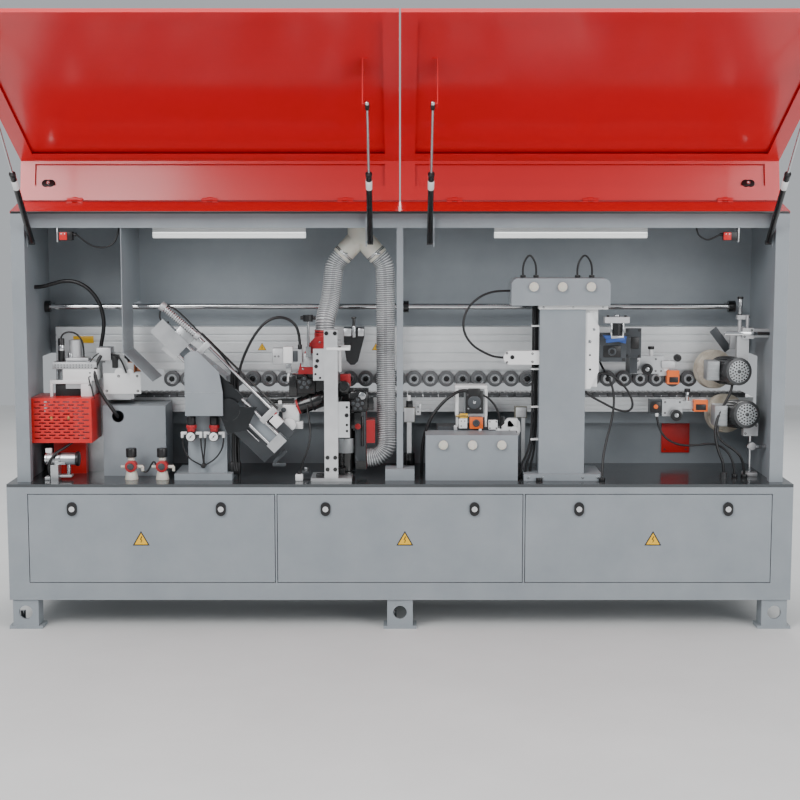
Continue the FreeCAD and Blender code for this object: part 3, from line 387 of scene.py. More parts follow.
def pickFaces(piece, test):
    # selects the faces that pass the test and opens edit mode on them
    selectOnly(piece)
    bpy.context.tool_settings.mesh_select_mode = (False, False, True)
    mesh = piece.data
    for part in (mesh.vertices, mesh.edges):
        part.foreach_set("select", [False] * len(part))
    mesh.polygons.foreach_set("select", [bool(test(face)) for face in mesh.polygons])
    bpy.ops.object.mode_set(mode="EDIT")


def done():
    bpy.ops.object.mode_set(mode="OBJECT")


def block(low, high, soften=1.5, finish="alloy"):
    # block between two corners, every edge softened
    low, high = Vector(low) * mm, Vector(high) * mm
    bpy.ops.mesh.primitive_cube_add(size=1, location=(low + high) / 2)
    piece = bpy.context.object
    piece.scale = high - low
    settle(piece)
    pickFaces(piece, lambda face: True)
    limit = min(high - low) * 0.45
    bpy.ops.mesh.bevel(offset=min(soften * mm, limit), segments=2, affect="EDGES")
    done()
    return paint(piece, finish)


def drum(axis, centre, radius, length, soften=1.0, finish="groundSteel", sides=32, steps=(), tip=None):
    # round piece along an axis. steps are (inset, push) moves made one after another on its first end
    heading = side[axis] if isinstance(axis, str) else Vector(axis).normalized()
    turn = heading.to_track_quat("Z", "Y")
    place = dict(location=Vector(centre) * mm, rotation=turn.to_euler())
    if tip is None:
        bpy.ops.mesh.primitive_cylinder_add(vertices=sides, radius=radius * mm, depth=length * mm, **place)
    else:
        bpy.ops.mesh.primitive_cone_add(
            vertices=sides, radius1=radius * mm, radius2=tip * mm, depth=length * mm, **place
        )
    piece = settle(bpy.context.object)
    pickFaces(piece, lambda face: abs(face.normal.dot(heading)) > 0.95)
    bpy.ops.mesh.bevel(offset=min(soften, length * 0.3, radius * 0.3) * mm, segments=2, affect="EDGES")
    done()
    if steps:
        first = min(face.center.dot(heading) for face in piece.data.polygons)
        pickFaces(
            piece, lambda face: face.normal.dot(heading) < -0.95 and face.center.dot(heading) < first + 1e-5
        )
        for inset, push in steps:
            bpy.ops.mesh.inset(thickness=inset * mm, depth=0)
            bpy.ops.transform.translate(value=heading * (push * mm))
        done()
    return paint(piece, finish)


def paint(piece, finish):
    piece.data.materials.clear()
    piece.data.materials.append(materials[finish])
    return piece


def paintWhere(piece, finish, test):
    # gives a second finish to the faces that pass the test
    slots = [slot.material for slot in piece.material_slots]
    if materials[finish] not in slots:
        piece.data.materials.append(materials[finish])
        slots.append(materials[finish])
    index = slots.index(materials[finish])
    for face in piece.data.polygons:
        if test(face):
            face.material_index = index
    return piece


def copyBy(piece, offset, turn=None):
    # copy with its own mesh, shifted in millimetres, after a turn about the world origin
    twin = piece.copy()
    twin.data = piece.data.copy()
    bpy.context.scene.collection.objects.link(twin)
    if turn is not None:
        twin.data.transform(turn)
    twin.data.transform(Matrix.Translation(Vector(offset) * mm))
    return twin


def join(name, pieces):
    bpy.ops.object.select_all(action="DESELECT")
    for piece in pieces:
        piece.select_set(True)
    bpy.context.view_layer.objects.active = pieces[0]
    bpy.ops.object.join()
    whole = bpy.context.object
    whole.name = name
    whole.data.name = name
    return settle(whole)


def finishPiece(name, pieces, body, replaced=()):
    # joins the pieces, smooths them and hangs the result on its body
    whole = join(name, list(pieces))
    selectOnly(whole)
    bpy.ops.object.shade_smooth_by_angle(angle=math.radians(34))
    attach(whole, body)
    if replaced:
        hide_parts(*replaced)
    return whole


def screwHead(axis, centre, radius=5.0, finish="groundSteel", proud=3.0):
    # socket screw head: a short drum with its hexagon sunk in
    head = drum(axis, centre, radius, proud, 0.5, finish, 16, ((radius * 0.42, 0.0), (0.2, proud * 0.6)))
    return head


def screws(axis, places, radius=5.0, finish="blackPaint", proud=3.0):
    first = screwHead(axis, (0, 0, 0), radius, finish, proud)
    heads = [copyBy(first, place) for place in places]
    bpy.data.objects.remove(first)
    return heads


def squareOf(left, right, depth, low, high):  # four screw places at the corners of a plate
    return ((left, depth, low), (right, depth, low), (left, depth, high), (right, depth, high))


def routeCurve(name, points, diameter, finish):
    # round cable whose line is a NURBS spline over the route's points
    data = bpy.data.curves.new(name, "CURVE")
    data.dimensions = "3D"
    data.resolution_u = 10
    data.bevel_depth = diameter * mm / 2
    data.bevel_resolution = 3
    data.use_fill_caps = True
    spline = data.splines.new("NURBS")
    spline.points.add(len(points) - 1)
    for point, place in zip(spline.points, points):
        point.co = (place[0] * mm, place[1] * mm, place[2] * mm, 1)
    spline.order_u = 3
    spline.use_endpoint_u = True
    curve = bpy.data.objects.new(name, data)
    bpy.context.scene.collection.objects.link(curve)
    data.materials.append(materials[finish])
    return curve


def lineOf(curve):
    # points that the spline itself gives, and its length in metres
    thick = curve.data.bevel_depth
    curve.data.bevel_depth = 0
    mesh = bpy.data.meshes.new_from_object(curve)
    curve.data.bevel_depth = thick
    points = [vertex.co.copy() for vertex in mesh.vertices]
    bpy.data.meshes.remove(mesh)
    return points, sum((b - a).length for a, b in zip(points, points[1:]))


# hoses and cables
# Routes in millimetres, the same points as the solid model.
cords = {
    "glueHose": {
        "node": "glue_hose", "diameter": 16, "stiffness": "stiff", "lay": "taut",
        "route": (
            (-1462, -115, 1331), (-1434, -115, 1331), (-1390, -115, 1344), (-1345, -120, 1356),
            (-1295, -125, 1354), (-1250, -128, 1332), (-1215, -130, 1295), (-1193, -128, 1248),
            (-1186, -116, 1195), (-1194, -98, 1145), (-1206, -82, 1100), (-1212, -76, 1070), (-1212, -76,
                                                                                              1040),
        ),
    },
    "endcutCable": {
        "node": "endcut_cable", "diameter": 11, "stiffness": "stiff", "lay": "taut",
        "route": (
            (-642, -215, 577), (-642, -215, 640), (-646, -213, 730), (-641, -214, 830), (-645, -216, 925),
            (-636, -222, 1010), (-608, -228, 1085), (-572, -232, 1150), (-528, -232, 1202), (-470, -230,
                                                                                             1222),
            (-414, -222, 1196), (-396, -208, 1140), (-396, -208, 1090),
        ),
    },
    "loopCable": {
        "node": "loop_cable", "diameter": 9, "stiffness": "stiff", "lay": "taut",
        "route": (
            (433, -225, 1321), (400, -225, 1321), (355, -228, 1316), (305, -232, 1294), (264, -238, 1252),
            (246, -243, 1200), (254, -247, 1148), (287, -250, 1105), (333, -250, 1078), (376, -247, 1060),
            (407, -247, 1060),
        ),
    },
    "buffCable": {
        "node": "buff_cable", "diameter": 11, "stiffness": "medium", "lay": "hanging",
        "route": (
            (1326, -170, 943.2), (1323, -172.5, 916), (1300, -180, 876), (1272, -190, 830), (1256, -200,
                                                                                             776),
            (1258, -212, 722), (1270, -222, 674), (1288, -230, 634), (1288, -230, 600),
        ),
    },
}


def makeCords():
    for name, facts in cords.items():
        curve = routeCurve(name, facts["route"], facts["diameter"], "blackRubber")
        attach(curve, "frame")
        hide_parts(facts["node"])
        lineOf(curve)[1]


makeCords()

dustHose = {
    "radius": 37.6,
    "ridge": 1.9,
    "pitch": 8.6,
    "perTurn": 5,
    "sides": 36,
    "ringFrom": 0.45,
    "left": (
        (-236, -68, 1452), (-260, -68, 1426), (-268, -74, 1382), (-272, -82, 1334), (-277, -94, 1288),
        (-285, -115, 1250), (-295, -136, 1217), (-300, -150, 1186), (-300, -150, 1152.3),
    ),
    "right": (
        (-86, -68, 1452), (-65.6, -68, 1428.6), (-60, -68, 1384), (-59, -69, 1320), (-58, -71, 1240), (-58,
                                                                                                       -74,
                                                                                                       1150),
        (-58, -80, 1060), (-57, -90, 970), (-56, -104, 880), (-55, -120, 800), (-54, -135, 745), (-52, -144,
                                                                                                  699),
        (-69, -148, 667), (-101, -150, 648), (-133, -150, 648),
    ),
}


def evenPoints(line, step):
    # points along a line at an even step
    total = sum((b - a).length for a, b in zip(line, line[1:]))
    count = int(total / step)
    places = []
    walked, index = 0.0, 0
    for number in range(count + 1):
        target = total * number / count
        while index < len(line) - 2 and walked + (line[index + 1] - line[index]).length < target:
            walked += (line[index + 1] - line[index]).length
            index += 1
        run = line[index + 1] - line[index]
        places.append(line[index] + run.normalized() * (target - walked))
    return places


def spiralHose(name, route, settings):
    # thin wall hose with a raised spiral, swept along the route's own spline
    guide = routeCurve(name + "Line", route, 1, "hoseFilm")
    line = lineOf(guide)[0]
    bpy.data.objects.remove(guide)
    places = evenPoints(line, settings["pitch"] * mm / settings["perTurn"])
    sides = settings["sides"]
    verts, faces, rings = [], [], []
    across = Vector((0, 1, 0))
    for number, place in enumerate(places):
        ahead = places[min(number + 1, len(places) - 1)] - places[max(number - 1, 0)]
        ahead.normalize()
        across = (across - ahead * across.dot(ahead)).normalized()
        up = ahead.cross(across)
        for spoke in range(sides):
            angle = math.tau * spoke / sides
            wave = math.cos(math.tau * number / settings["perTurn"] - angle)
            radius = (settings["radius"] + settings["ridge"] * wave) * mm
            verts.append(place + (across * math.cos(angle) + up * math.sin(angle)) * radius)
    for number in range(len(places) - 1):
        for spoke in range(sides):
            a = number * sides + spoke
            b = number * sides + (spoke + 1) % sides
            faces.append((a, b, b + sides, a + sides))
            turned = (number + 0.5) / settings["perTurn"] - (spoke + 0.5) / sides
            rings.append(int(math.cos(math.tau * turned) > settings["ringFrom"]))
    faces.append(tuple(range(sides - 1, -1, -1)))
    faces.append(tuple(range((len(places) - 1) * sides, len(places) * sides)))
    mesh = bpy.data.meshes.new(name)
    mesh.from_pydata(verts, [], faces)
    mesh.materials.append(materials["hoseFilm"])
    mesh.materials.append(materials["hoseRing"])
    for face, ring in zip(mesh.polygons, rings):
        face.material_index = ring
    hose = bpy.data.objects.new(name, mesh)
    bpy.context.scene.collection.objects.link(hose)
    selectOnly(hose)
    bpy.ops.object.mode_set(mode="EDIT")
    bpy.ops.mesh.select_all(action="SELECT")
    bpy.ops.mesh.normals_make_consistent(inside=False)
    done()
    bpy.ops.object.shade_smooth_by_angle(angle=math.radians(60))
    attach(hose, "frame")
    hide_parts("dust_hoses")


spiralHose("leftDustHose", dustHose["left"], dustHose)
spiralHose("rightDustHose", dustHose["right"], dustHose)
print("hoses and cables laid")


# finishes of the frame's own nodes
nodeFinishes = {
    "bodyGrey": (
        "base_cabinet", "left_door", "middle_door", "right_door", "left_side_wall", "right_side_wall",
        "header_frame", "rear_housing", "baffle_plate", "feet", "endcut_column", "corner_column", "corner_box",
        "profile_cover", "glue_cover",
    ),
    "tableDark": ("table_plate",),
    "hoodRed": ("left_hood", "right_hood", "top_fascia"),
    "brightRed": ("glue_guard",),
    "beamWhite": ("chain_beam", "pressure_beam"),
    "blackPaint": ("left_strut_tubes", "right_strut_tubes"),
    "chrome": ("left_strut_rods", "right_strut_rods", "guide_bar"),
    "groundSteel": ("glue_roller",),
    "alloyUpright": ("trim_column",),
    "alloy": ("endcut_guide", "scraper_units", "glue_head", "profile_unit"),
    "castAlloy": ("corner_unit",),
    "castRed": ("trim_unit_upper", "trim_unit_lower"),
    "creamPlastic": ("duct_tee",),
    "blackGloss": ("endcut_carriage",),
    "motorDark": ("buff_units",),
    "blackPlastic": ("upper_star_knob", "lower_star_knob", "height_knob", "feed_motor"),
    "lampOpal": ("lamps",),
}


# finishes of parts of a node: finish, and the two corners of the space it fills
boxPaint = {
    "trim_unit_upper": (
        ("alloy", (-301, -260, 988), (-242, -100, 1101)),
        ("blackPaint", (-431, -201, 899), (-299.9, -149, 988.9)),
        ("blackPaint", (-301, -201, 899), (-242, -149, 931)),
        ("blackPaint", (-242.9, -201, 840), (-124, -149, 931)),
        ("blackPaint", (-223, -216, 1027), (-140, -149, 1176)),
        ("alloy", (-243, -206, 1059), (-223, -164, 1101)),
        ("alloy", (-501, -216, 1034), (-404.5, -184, 1091)),
        ("groundSteel", (-373, -236, 1059), (-351, -200.1, 1201)),
    ),
    "trim_unit_lower": (
        ("blackPaint", (-256, -201, 588), (-136.1, -107, 841)),
    ),
    "profile_unit": (
        ("whitePlastic", (225, -151, 765), (236, -59, 937)),
        ("whitePlastic", (340, -151, 765), (351, -59, 937)),
        ("whitePlastic", (225, -151, 925), (351, -59, 937)),
        ("motorGrey", (236.1, -151, 821), (339.9, -79, 923)),
        ("orangePlastic", (278, -151, 769), (332, -139, 809)),
        ("whitePlastic", (239, -151, 769), (271, -99, 809)),
        ("whitePlastic", (354, -151, 761), (397, -135, 799)),
        ("whitePlastic", (395, -151, 747), (486, -129, 807)),
        ("olivePlate", (16, -151, 789), (61, -119, 851)),
        ("olivePlate", (461, -131, 804), (512, -99, 852)),
        ("darkPlate", (149, -139, 577), (421, -19, 771)),
    ),
    "corner_unit": (
        ("whitePlastic", (725, -268, 937), (781, -254, 1239)),
        ("darkPlate", (775, -262, 1043), (958, -177, 1172)),
        ("blackPaint", (824, -301, 1139), (870, -255.5, 1198.9)),
        ("bluePlastic", (793, -301, 1118), (884, -254.5, 1151)),
        ("castAlloy", (797, -303, 1198.9), (894, -253, 1223)),
        ("whitePlastic", (406, -263, 1032), (548, -231, 1088)),
    ),
    "corner_column": (
        ("whitePlastic", (725.9, -256, 944), (777, -242, 1250.9)),
        ("whitePlastic", (540, -282, 1250.9), (813, -100, 1268)),
    ),
    "buff_units": (
        ("chrome", (1372, -187, 1039), (1386, -173, 1221)),
        ("chrome", (1397, -177, 576), (1411, -163, 739)),
        ("castAlloy", (1355, -203, 1129), (1401, -159, 1173)),
        ("castAlloy", (1371, -191, 739), (1431, -149, 791)),
        ("castAlloy", (1394, -196, 1134), (1463, -164, 1169)),
        ("blackPaint", (1344, -169, 1109), (1362, -151, 1286)),
        ("castAlloy", (1336, -191, 1029), (1386, -144, 1223)),
    ),
    "scraper_units": (
        ("orangePlastic", (1071, -141, 942), (1121, -99, 998)),
        ("orangePlastic", (1181, -141, 831), (1238, -99, 880)),
        ("blackPaint", (966, -151, 981), (1012, -119.5, 1027)),
        ("blackPaint", (1087, -151, 795), (1133, -119.5, 841)),
        ("darkPlate", (1007, -116, 818), (1056.9, -69, 879)),
        ("darkPlate", (914, -179, 989), (935.9, -61, 1081)),
        ("blackPaint", (1057.1, -59.9, 814), (1131, 46, 863)),
    ),
}


# buttons and screw heads stand in front of these depths, in metres
frontPaint = (("corner_box", "creamPlastic", -0.3051), ("profile_cover", "creamPlastic", -0.2901),
              ("trim_column", "blackPaint", -0.3151))


def dressNodes():
    for finish, names in nodeFinishes.items():
        for name in names:
            paint(nodes[name], finish)
    for name in nodes:
        if name.endswith("_lock"):
            paint(nodes[name], "blackPlastic")
            paintWhere(nodes[name], "chrome", lambda face: face.center.y < -0.3882)
    bar = nodes["guide_bar"]
    axis = Vector((0, 0.065, 1.243))
    paintWhere(bar, "blackPaint", lambda face: (face.center - axis).yz.length > 0.0128)
    paintWhere(nodes["lamps"], "whitePlastic", lambda face: face.center.z > 1.5535)
    paintWhere(nodes["feet"], "groundSteel", lambda face: boltPart(face.center))
    for name, finish, depth in frontPaint:
        paintWhere(nodes[name], finish, lambda face: face.center.y < depth)
    for name, rules in boxPaint.items():
        for finish, low, high in rules:
            paintWhere(nodes[name], finish, insideBox(low, high))
    paintWhere(nodes["pressure_beam"], "darkPlate", lambda face: face.center.y > 0.0755
               and face.center.z < 0.9835)
    paintWhere(nodes["chain_beam"], "bodyGrey", lambda face: face.center.z < 0.8085)
    paintWhere(nodes["glue_head"], "castAlloy", lambda face: face.center.z > 1.0405)
    paintWhere(nodes["glue_head"], "darkPlate", lambda face: face.center.x < -1.345
               and face.center.z > 0.89)
    paintWhere(nodes["glue_head"], "bodyGrey", lambda face: face.center.z < 0.66 and face.center.x > -1.335)
    paintWhere(nodes["endcut_guide"], "chrome", lambda face: rodPart(face.center))
    paintWhere(nodes["endcut_guide"], "bodyGrey", lambda face: face.center.y > -0.2621)


def insideBox(low, high):
    # test for faces whose middle lies in a box given in millimetres
    def test(face):
        return all(a * mm <= value <= b * mm for a, value, b in zip(low, face.center, high))
    return test


def boltPart(place):
    # true on the levelling bolts, which stand beside each foot's middle
    nearest = min((abs(place.x + 0.024 - x), x) for x in (-1.47, 0.0, 1.47))
    return nearest[0] < 0.0152 and abs(abs(place.y) - 0.315) < 0.0152 and 0.0125 < place.z < 0.0605


def rodPart(place):
    # true on the two chrome rods of the end cutting guide
    return -0.2835 < place.y < -0.2685 and place.x > -0.87 and abs((place.x + place.z) - 0.24) < 0.06


dressNodes()
print("frame nodes dressed")


# feed
rollerLook = {"count": 33, "pitch": 66.7, "first": -942, "height": 945.5, "front": 40, "width": 30,
              "radius": 32.5}


def makeRollers(look):
    # rubber tyred pressure rollers: tyre, steel ring, and a hub and bolt painted dark as painted shade of the
    # centre hole, copied along the beam
    middle = look["front"] + look["width"] / 2
    place = (look["first"], middle, look["height"])
    tyre = drum("y", place, look["radius"], look["width"], 3.0, "rollerRubber", 40,
                ((9.0, 0), (0.8, 2.0), (8.0, 0), (0.6, 7.0)))
    centre = Vector(place) * mm
    paintWhere(tyre, "groundSteel", lambda face: face.center.y < centre.y
               and 0.0148 < (face.center - centre).xz.length < 0.0229)
    # hub face painted black: painted shade of the centre hole
    paintWhere(tyre, "blackPaint", lambda face: (face.center - centre).xz.length < 0.0146
               and face.center.y < centre.y)
    # bolt head in black plastic: also painted shade of the centre hole
    bolt = screwHead("y", (place[0], look["front"] + 7, place[2]), 7, "blackPlastic", 5)
    axle = drum("y", (place[0], look["front"] + look["width"] + 2.5, place[2]), 6, 5, 0.5, "groundSteel",
                16)
    pair = join("rollerModel", (tyre, bolt, axle))
    rollers = [pair] + [copyBy(pair, (look["pitch"] * index, 0, 0)) for index in range(1, look["count"])]
    finishPiece("pressureRollers", rollers, "beam", ("pressure_rollers",))


padLook = {"count": 45, "pitch": 63.5, "half": 30.5, "front": 40, "rear": 120, "low": 869, "top": 889.5}


def makePads(look):
    # chain pads: steel link below, darkened as painted shade under the pad, ribbed rubber pad above, copied along
    # the chain
    first = -look["pitch"] * (look["count"] - 1) / 2
    low, top = look["low"], look["top"]
    link = block((first - look["half"], look["front"] + 2, low),
                 (first + look["half"], look["rear"] - 2, low + 9), 1.2, "linkSteelInPaintedShade")
    rubber = block((first - look["half"], look["front"], low + 9),
                   (first + look["half"], look["rear"], top - 2), 1.6, "padRubber")
    ribs = [block((first + x - 6, look["front"] + 1, top - 3), (first + x + 6, look["rear"] - 1, top), 1.0,
                  "padRubber") for x in (-20, 0, 20)]
    pin = screwHead("y", (first, look["front"] + 1, low + 4.5), 3.4, "groundSteel", 3)
    model = join("padModel", (link, rubber, *ribs, pin))
    pads = [model] + [copyBy(model, (look["pitch"] * index, 0, 0)) for index in range(1, look["count"])]
    finishPiece("chainPads", pads, "frame", ("chain_pads",))


makeRollers(rollerLook)
makePads(padLook)
print("feed made")


# hoods, struts and the black strip under the fascia
hoodSetup = {"hinge": (0, -175, 1678), "openAngle": 115, "rise": 23, "slope": 40 / 168, "stopFrom": 68}


def onHood(piece):
    # takes a piece drawn on the shut hood, about the hinge line, to the stored open hood
    turn = Matrix.Rotation(math.radians(-hoodSetup["openAngle"]), 4, "X")
    piece.data.transform(Matrix.Translation(Vector(hoodSetup["hinge"]) * mm) @ turn)
    return piece


def makeHoodStops():
    # oval rubber stop with its bright screw inside each hood's top section
    away = hoodSetup["stopFrom"]
    skin = hoodSetup["rise"] - 2.5 - hoodSetup["slope"] * away
    down = Vector((0, -hoodSetup["slope"], -1)).normalized()
    for word, x in (("left", -1388), ("right", 1374)):
        parts = []
        for step in (-9, 9):
            parts.append(drum(down, (x + step, -away, skin - 6), 17, 12, 3.0, "blackRubber", 28, ()))
        parts.append(screwHead(-down, (x, -away, skin - 13), 8, "chrome", 4))
        model = onHood(join(word + "HoodStop", parts))
        finishPiece(word + "HoodStop", [model], word + "_hood")


strutSetup = {
    "foot": (0, -285,
             1511), "reach": 539, "lift": 492, "outer": 1427, "inner": 115, "tube": 380, "label": (300,
                                                                                                   345),
}


def alongStrut(x, run):
    # point on a strut's axis, a run from its lower ball
    length = math.hypot(strutSetup["reach"], strutSetup["lift"])
    foot = strutSetup["foot"]
    return (x, foot[1] - strutSetup["reach"] * run / length, foot[2] + strutSetup["lift"] * run / length)


def makeStrutTrim():
    # ball sockets, end collar and blank white label on each gas strut
    heading = Vector((0, -strutSetup["reach"], strutSetup["lift"])).normalized()
    length = math.hypot(strutSetup["reach"], strutSetup["lift"])
    for word, places in (("left", (-strutSetup["outer"], -strutSetup["inner"])),
                         ("right", (strutSetup["inner"], strutSetup["outer"]))):
        onTube, onRod = [], []
        for x in places:
            low, high = strutSetup["label"]
            onTube.append(drum(heading, alongStrut(x, (low + high) / 2), 11.9, high - low, 0.1,
                               "whitePlastic", 32))
            onTube.append(drum(heading, alongStrut(x, strutSetup["tube"] - 5), 12.6, 12, 2.0,
                               "blackPlastic", 28))
            onTube.append(drum(heading, alongStrut(x, 16), 8.2, 26, 3.0, "chrome", 24))
            onRod.append(drum(heading, alongStrut(x, length - 16), 8.0, 26, 3.0, "blackPlastic", 24))
            onRod.append(drum("x", alongStrut(x, length), 9.6, 9.0, 2.4, "chrome", 28,
                              ((3.5, 0), (0.4, 2.0))))
        finishPiece(word + "StrutCollars", onTube, word + "_strut_tubes")
        finishPiece(word + "StrutEnds", onRod, word + "_strut_rods")


fasciaStripSetup = {"half": 1498, "front": -327, "rear": -325, "low": 1616, "high": 1631}


def makeFasciaStrip(look):
    # thin black strip under the front edge of the fascia
    blackStrip = block((-look["half"], look["front"], look["low"] + 6), (look["half"], look["rear"], look["high"]),
                0.8, "blackRubber")
    finishPiece("fasciaBlackStrip", [blackStrip], "frame")


makeHoodStops()
makeStrutTrim()
makeFasciaStrip(fasciaStripSetup)
print("hood details made")


def lead(name, points, diameter, finish="blackRubber", body="frame"):
    # small cable or air hose between two pieces, hung on its body; its line's length is worked out and not used
    curve = routeCurve(name, points, diameter, finish)
    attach(curve, body)
    lineOf(curve)[1]


def slantedBlock(start, end, wide, low, high, soften, finish):
    # block along a slanted line in the XZ plane, from one depth to another
    start, end = Vector((start[0], 0, start[1])), Vector((end[0], 0, end[1]))
    run = end - start
    piece = block((-wide / 2, low, 0), (wide / 2, high, run.length), soften, finish)
    turn = Matrix.Rotation(math.atan2(run.x, run.z), 4, "Y")
    piece.data.transform(Matrix.Translation(start * mm) @ turn)
    return piece


# warning triangles, left blank but for a plain bolt shape
triangleLook = {
    "places": ((-1010, "left_door"), (19, "middle_door"), (987, "right_door")),
    "height": 364, "side": 66, "thick": 0.8, "border": 7, "beamHeight": 1078, "beamSide": 36, "beamBorder": 2.5,
}


def trianglePlate(size, depth, finish):
    bpy.ops.mesh.primitive_cylinder_add(vertices=3, radius=size * 0.577 * mm, depth=depth * mm)
    piece = settle(bpy.context.object)
    pickFaces(piece, lambda face: True)
    bpy.ops.mesh.bevel(offset=min(size * 0.04, depth * 0.3) * mm, segments=1, affect="EDGES")
    done()
    piece.data.transform(Matrix.Rotation(math.radians(90), 4, "X"))
    top = max(vertex.co.z for vertex in piece.data.vertices)
    if top < size * 0.5 * mm:
        piece.data.transform(Matrix.Rotation(math.pi, 4, "Y"))
    return paint(piece, finish)


def makeTriangle(centre, side, front, border, thick, body, name):
    x, z = centre
    low = z - side * 0.866 * 0.17
    back = trianglePlate(side, thick, "blackPlastic")
    back.data.transform(Matrix.Translation(Vector((x, front - 0.4, low)) * mm))
    face = trianglePlate(side - 2 * border, thick, "yellowFilm")
    face.data.transform(Matrix.Translation(Vector((x, front - 0.9, low)) * mm))
    stroke = side * 0.13
    bolt = [
        slantedBlock((x + stroke * 0.35, z + stroke * 0.9), (x - stroke * 0.35, z - stroke * 0.7),
                     stroke * 0.42,
                     front - 1.6, front - 1.2, 0.1, "blackPlastic"),
        slantedBlock((x + stroke * 0.35, z - stroke * 0.6), (x - stroke * 0.1, z - stroke * 2.0),
                     stroke * 0.36,
                     front - 1.6, front - 1.2, 0.1, "blackPlastic"),
    ]
    finishPiece(name, [back, face, *bolt], body)


def makeTriangles(look):
    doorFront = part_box("middle_door")[0][1] / mm
    for x, body in look["places"]:
        makeTriangle((x, look["height"]), look["side"], doorFront, look["border"], look["thick"], body,
                     body + "Triangle")
    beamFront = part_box("pressure_beam")[0][1] / mm
    for index, x in enumerate((-570, -99)):
        makeTriangle((x, look["beamHeight"]), look["beamSide"], beamFront, look["beamBorder"],
                     look["thick"], "beam", f"beamTriangle{index}")


# safety switches of the hoods
switchLook = {"places": ((-1299, 1), (1284, -1)), "height": 1534, "middle": -247, "headerLow": 1567}


def makeSwitches(look):
    for index, (x, hand) in enumerate(look["places"]):
        z, y = look["height"], look["middle"]
        left, right = (x - 30, x + 24) if hand > 0 else (x - 24, x + 30)
        body = block((left, y - 16, z - 16), (right, y + 18, z + 18), 2, "blackPlastic")
        face = block((x - 26, y - 21, z - 14), (x + 4, y - 15, z + 16), 1.5, "brightRed")
        edge = x - 36 if hand > 0 else x + 30
        bracket = block((edge, y - 20, z - 22), (edge + 5, y + 16, look["headerLow"]), 1, "alloy")
        gland = drum("x", (x + 30 * hand, y, z + 7), 7, 16, 1, "blackPlastic", 20)
        rivets = screws("y", ((x - 18, y - 21, z + 9), (x - 4, y - 21, z + 9)), 2.6, "chrome", 2)
        finishPiece(f"hoodSwitch{index}", [body, face, bracket, gland, *rivets], "frame")
    lead("leftSwitchCable", ((-1100, -226, 1567), (-1104, -230, 1535), (-1122, -236, 1502),
                             (-1160, -240, 1488), (-1205, -244, 1497), (-1240, -246, 1522),
                             (-1262, -247, 1541)), 7)
    lead("rightSwitchCable", ((1158, -232, 1567), (1160, -236, 1552), (1172, -240, 1532),
                              (1200, -244, 1518), (1228, -246, 1530), (1248, -247, 1541)), 7)


makeTriangles(triangleLook)
makeSwitches(switchLook)
print("labels and switches made")


# glue unit: covers, pot, motor and hoses over the solid model's own blocks
glueLook = {"plateFront": -154, "screw": 5, "coilTurns": 4}


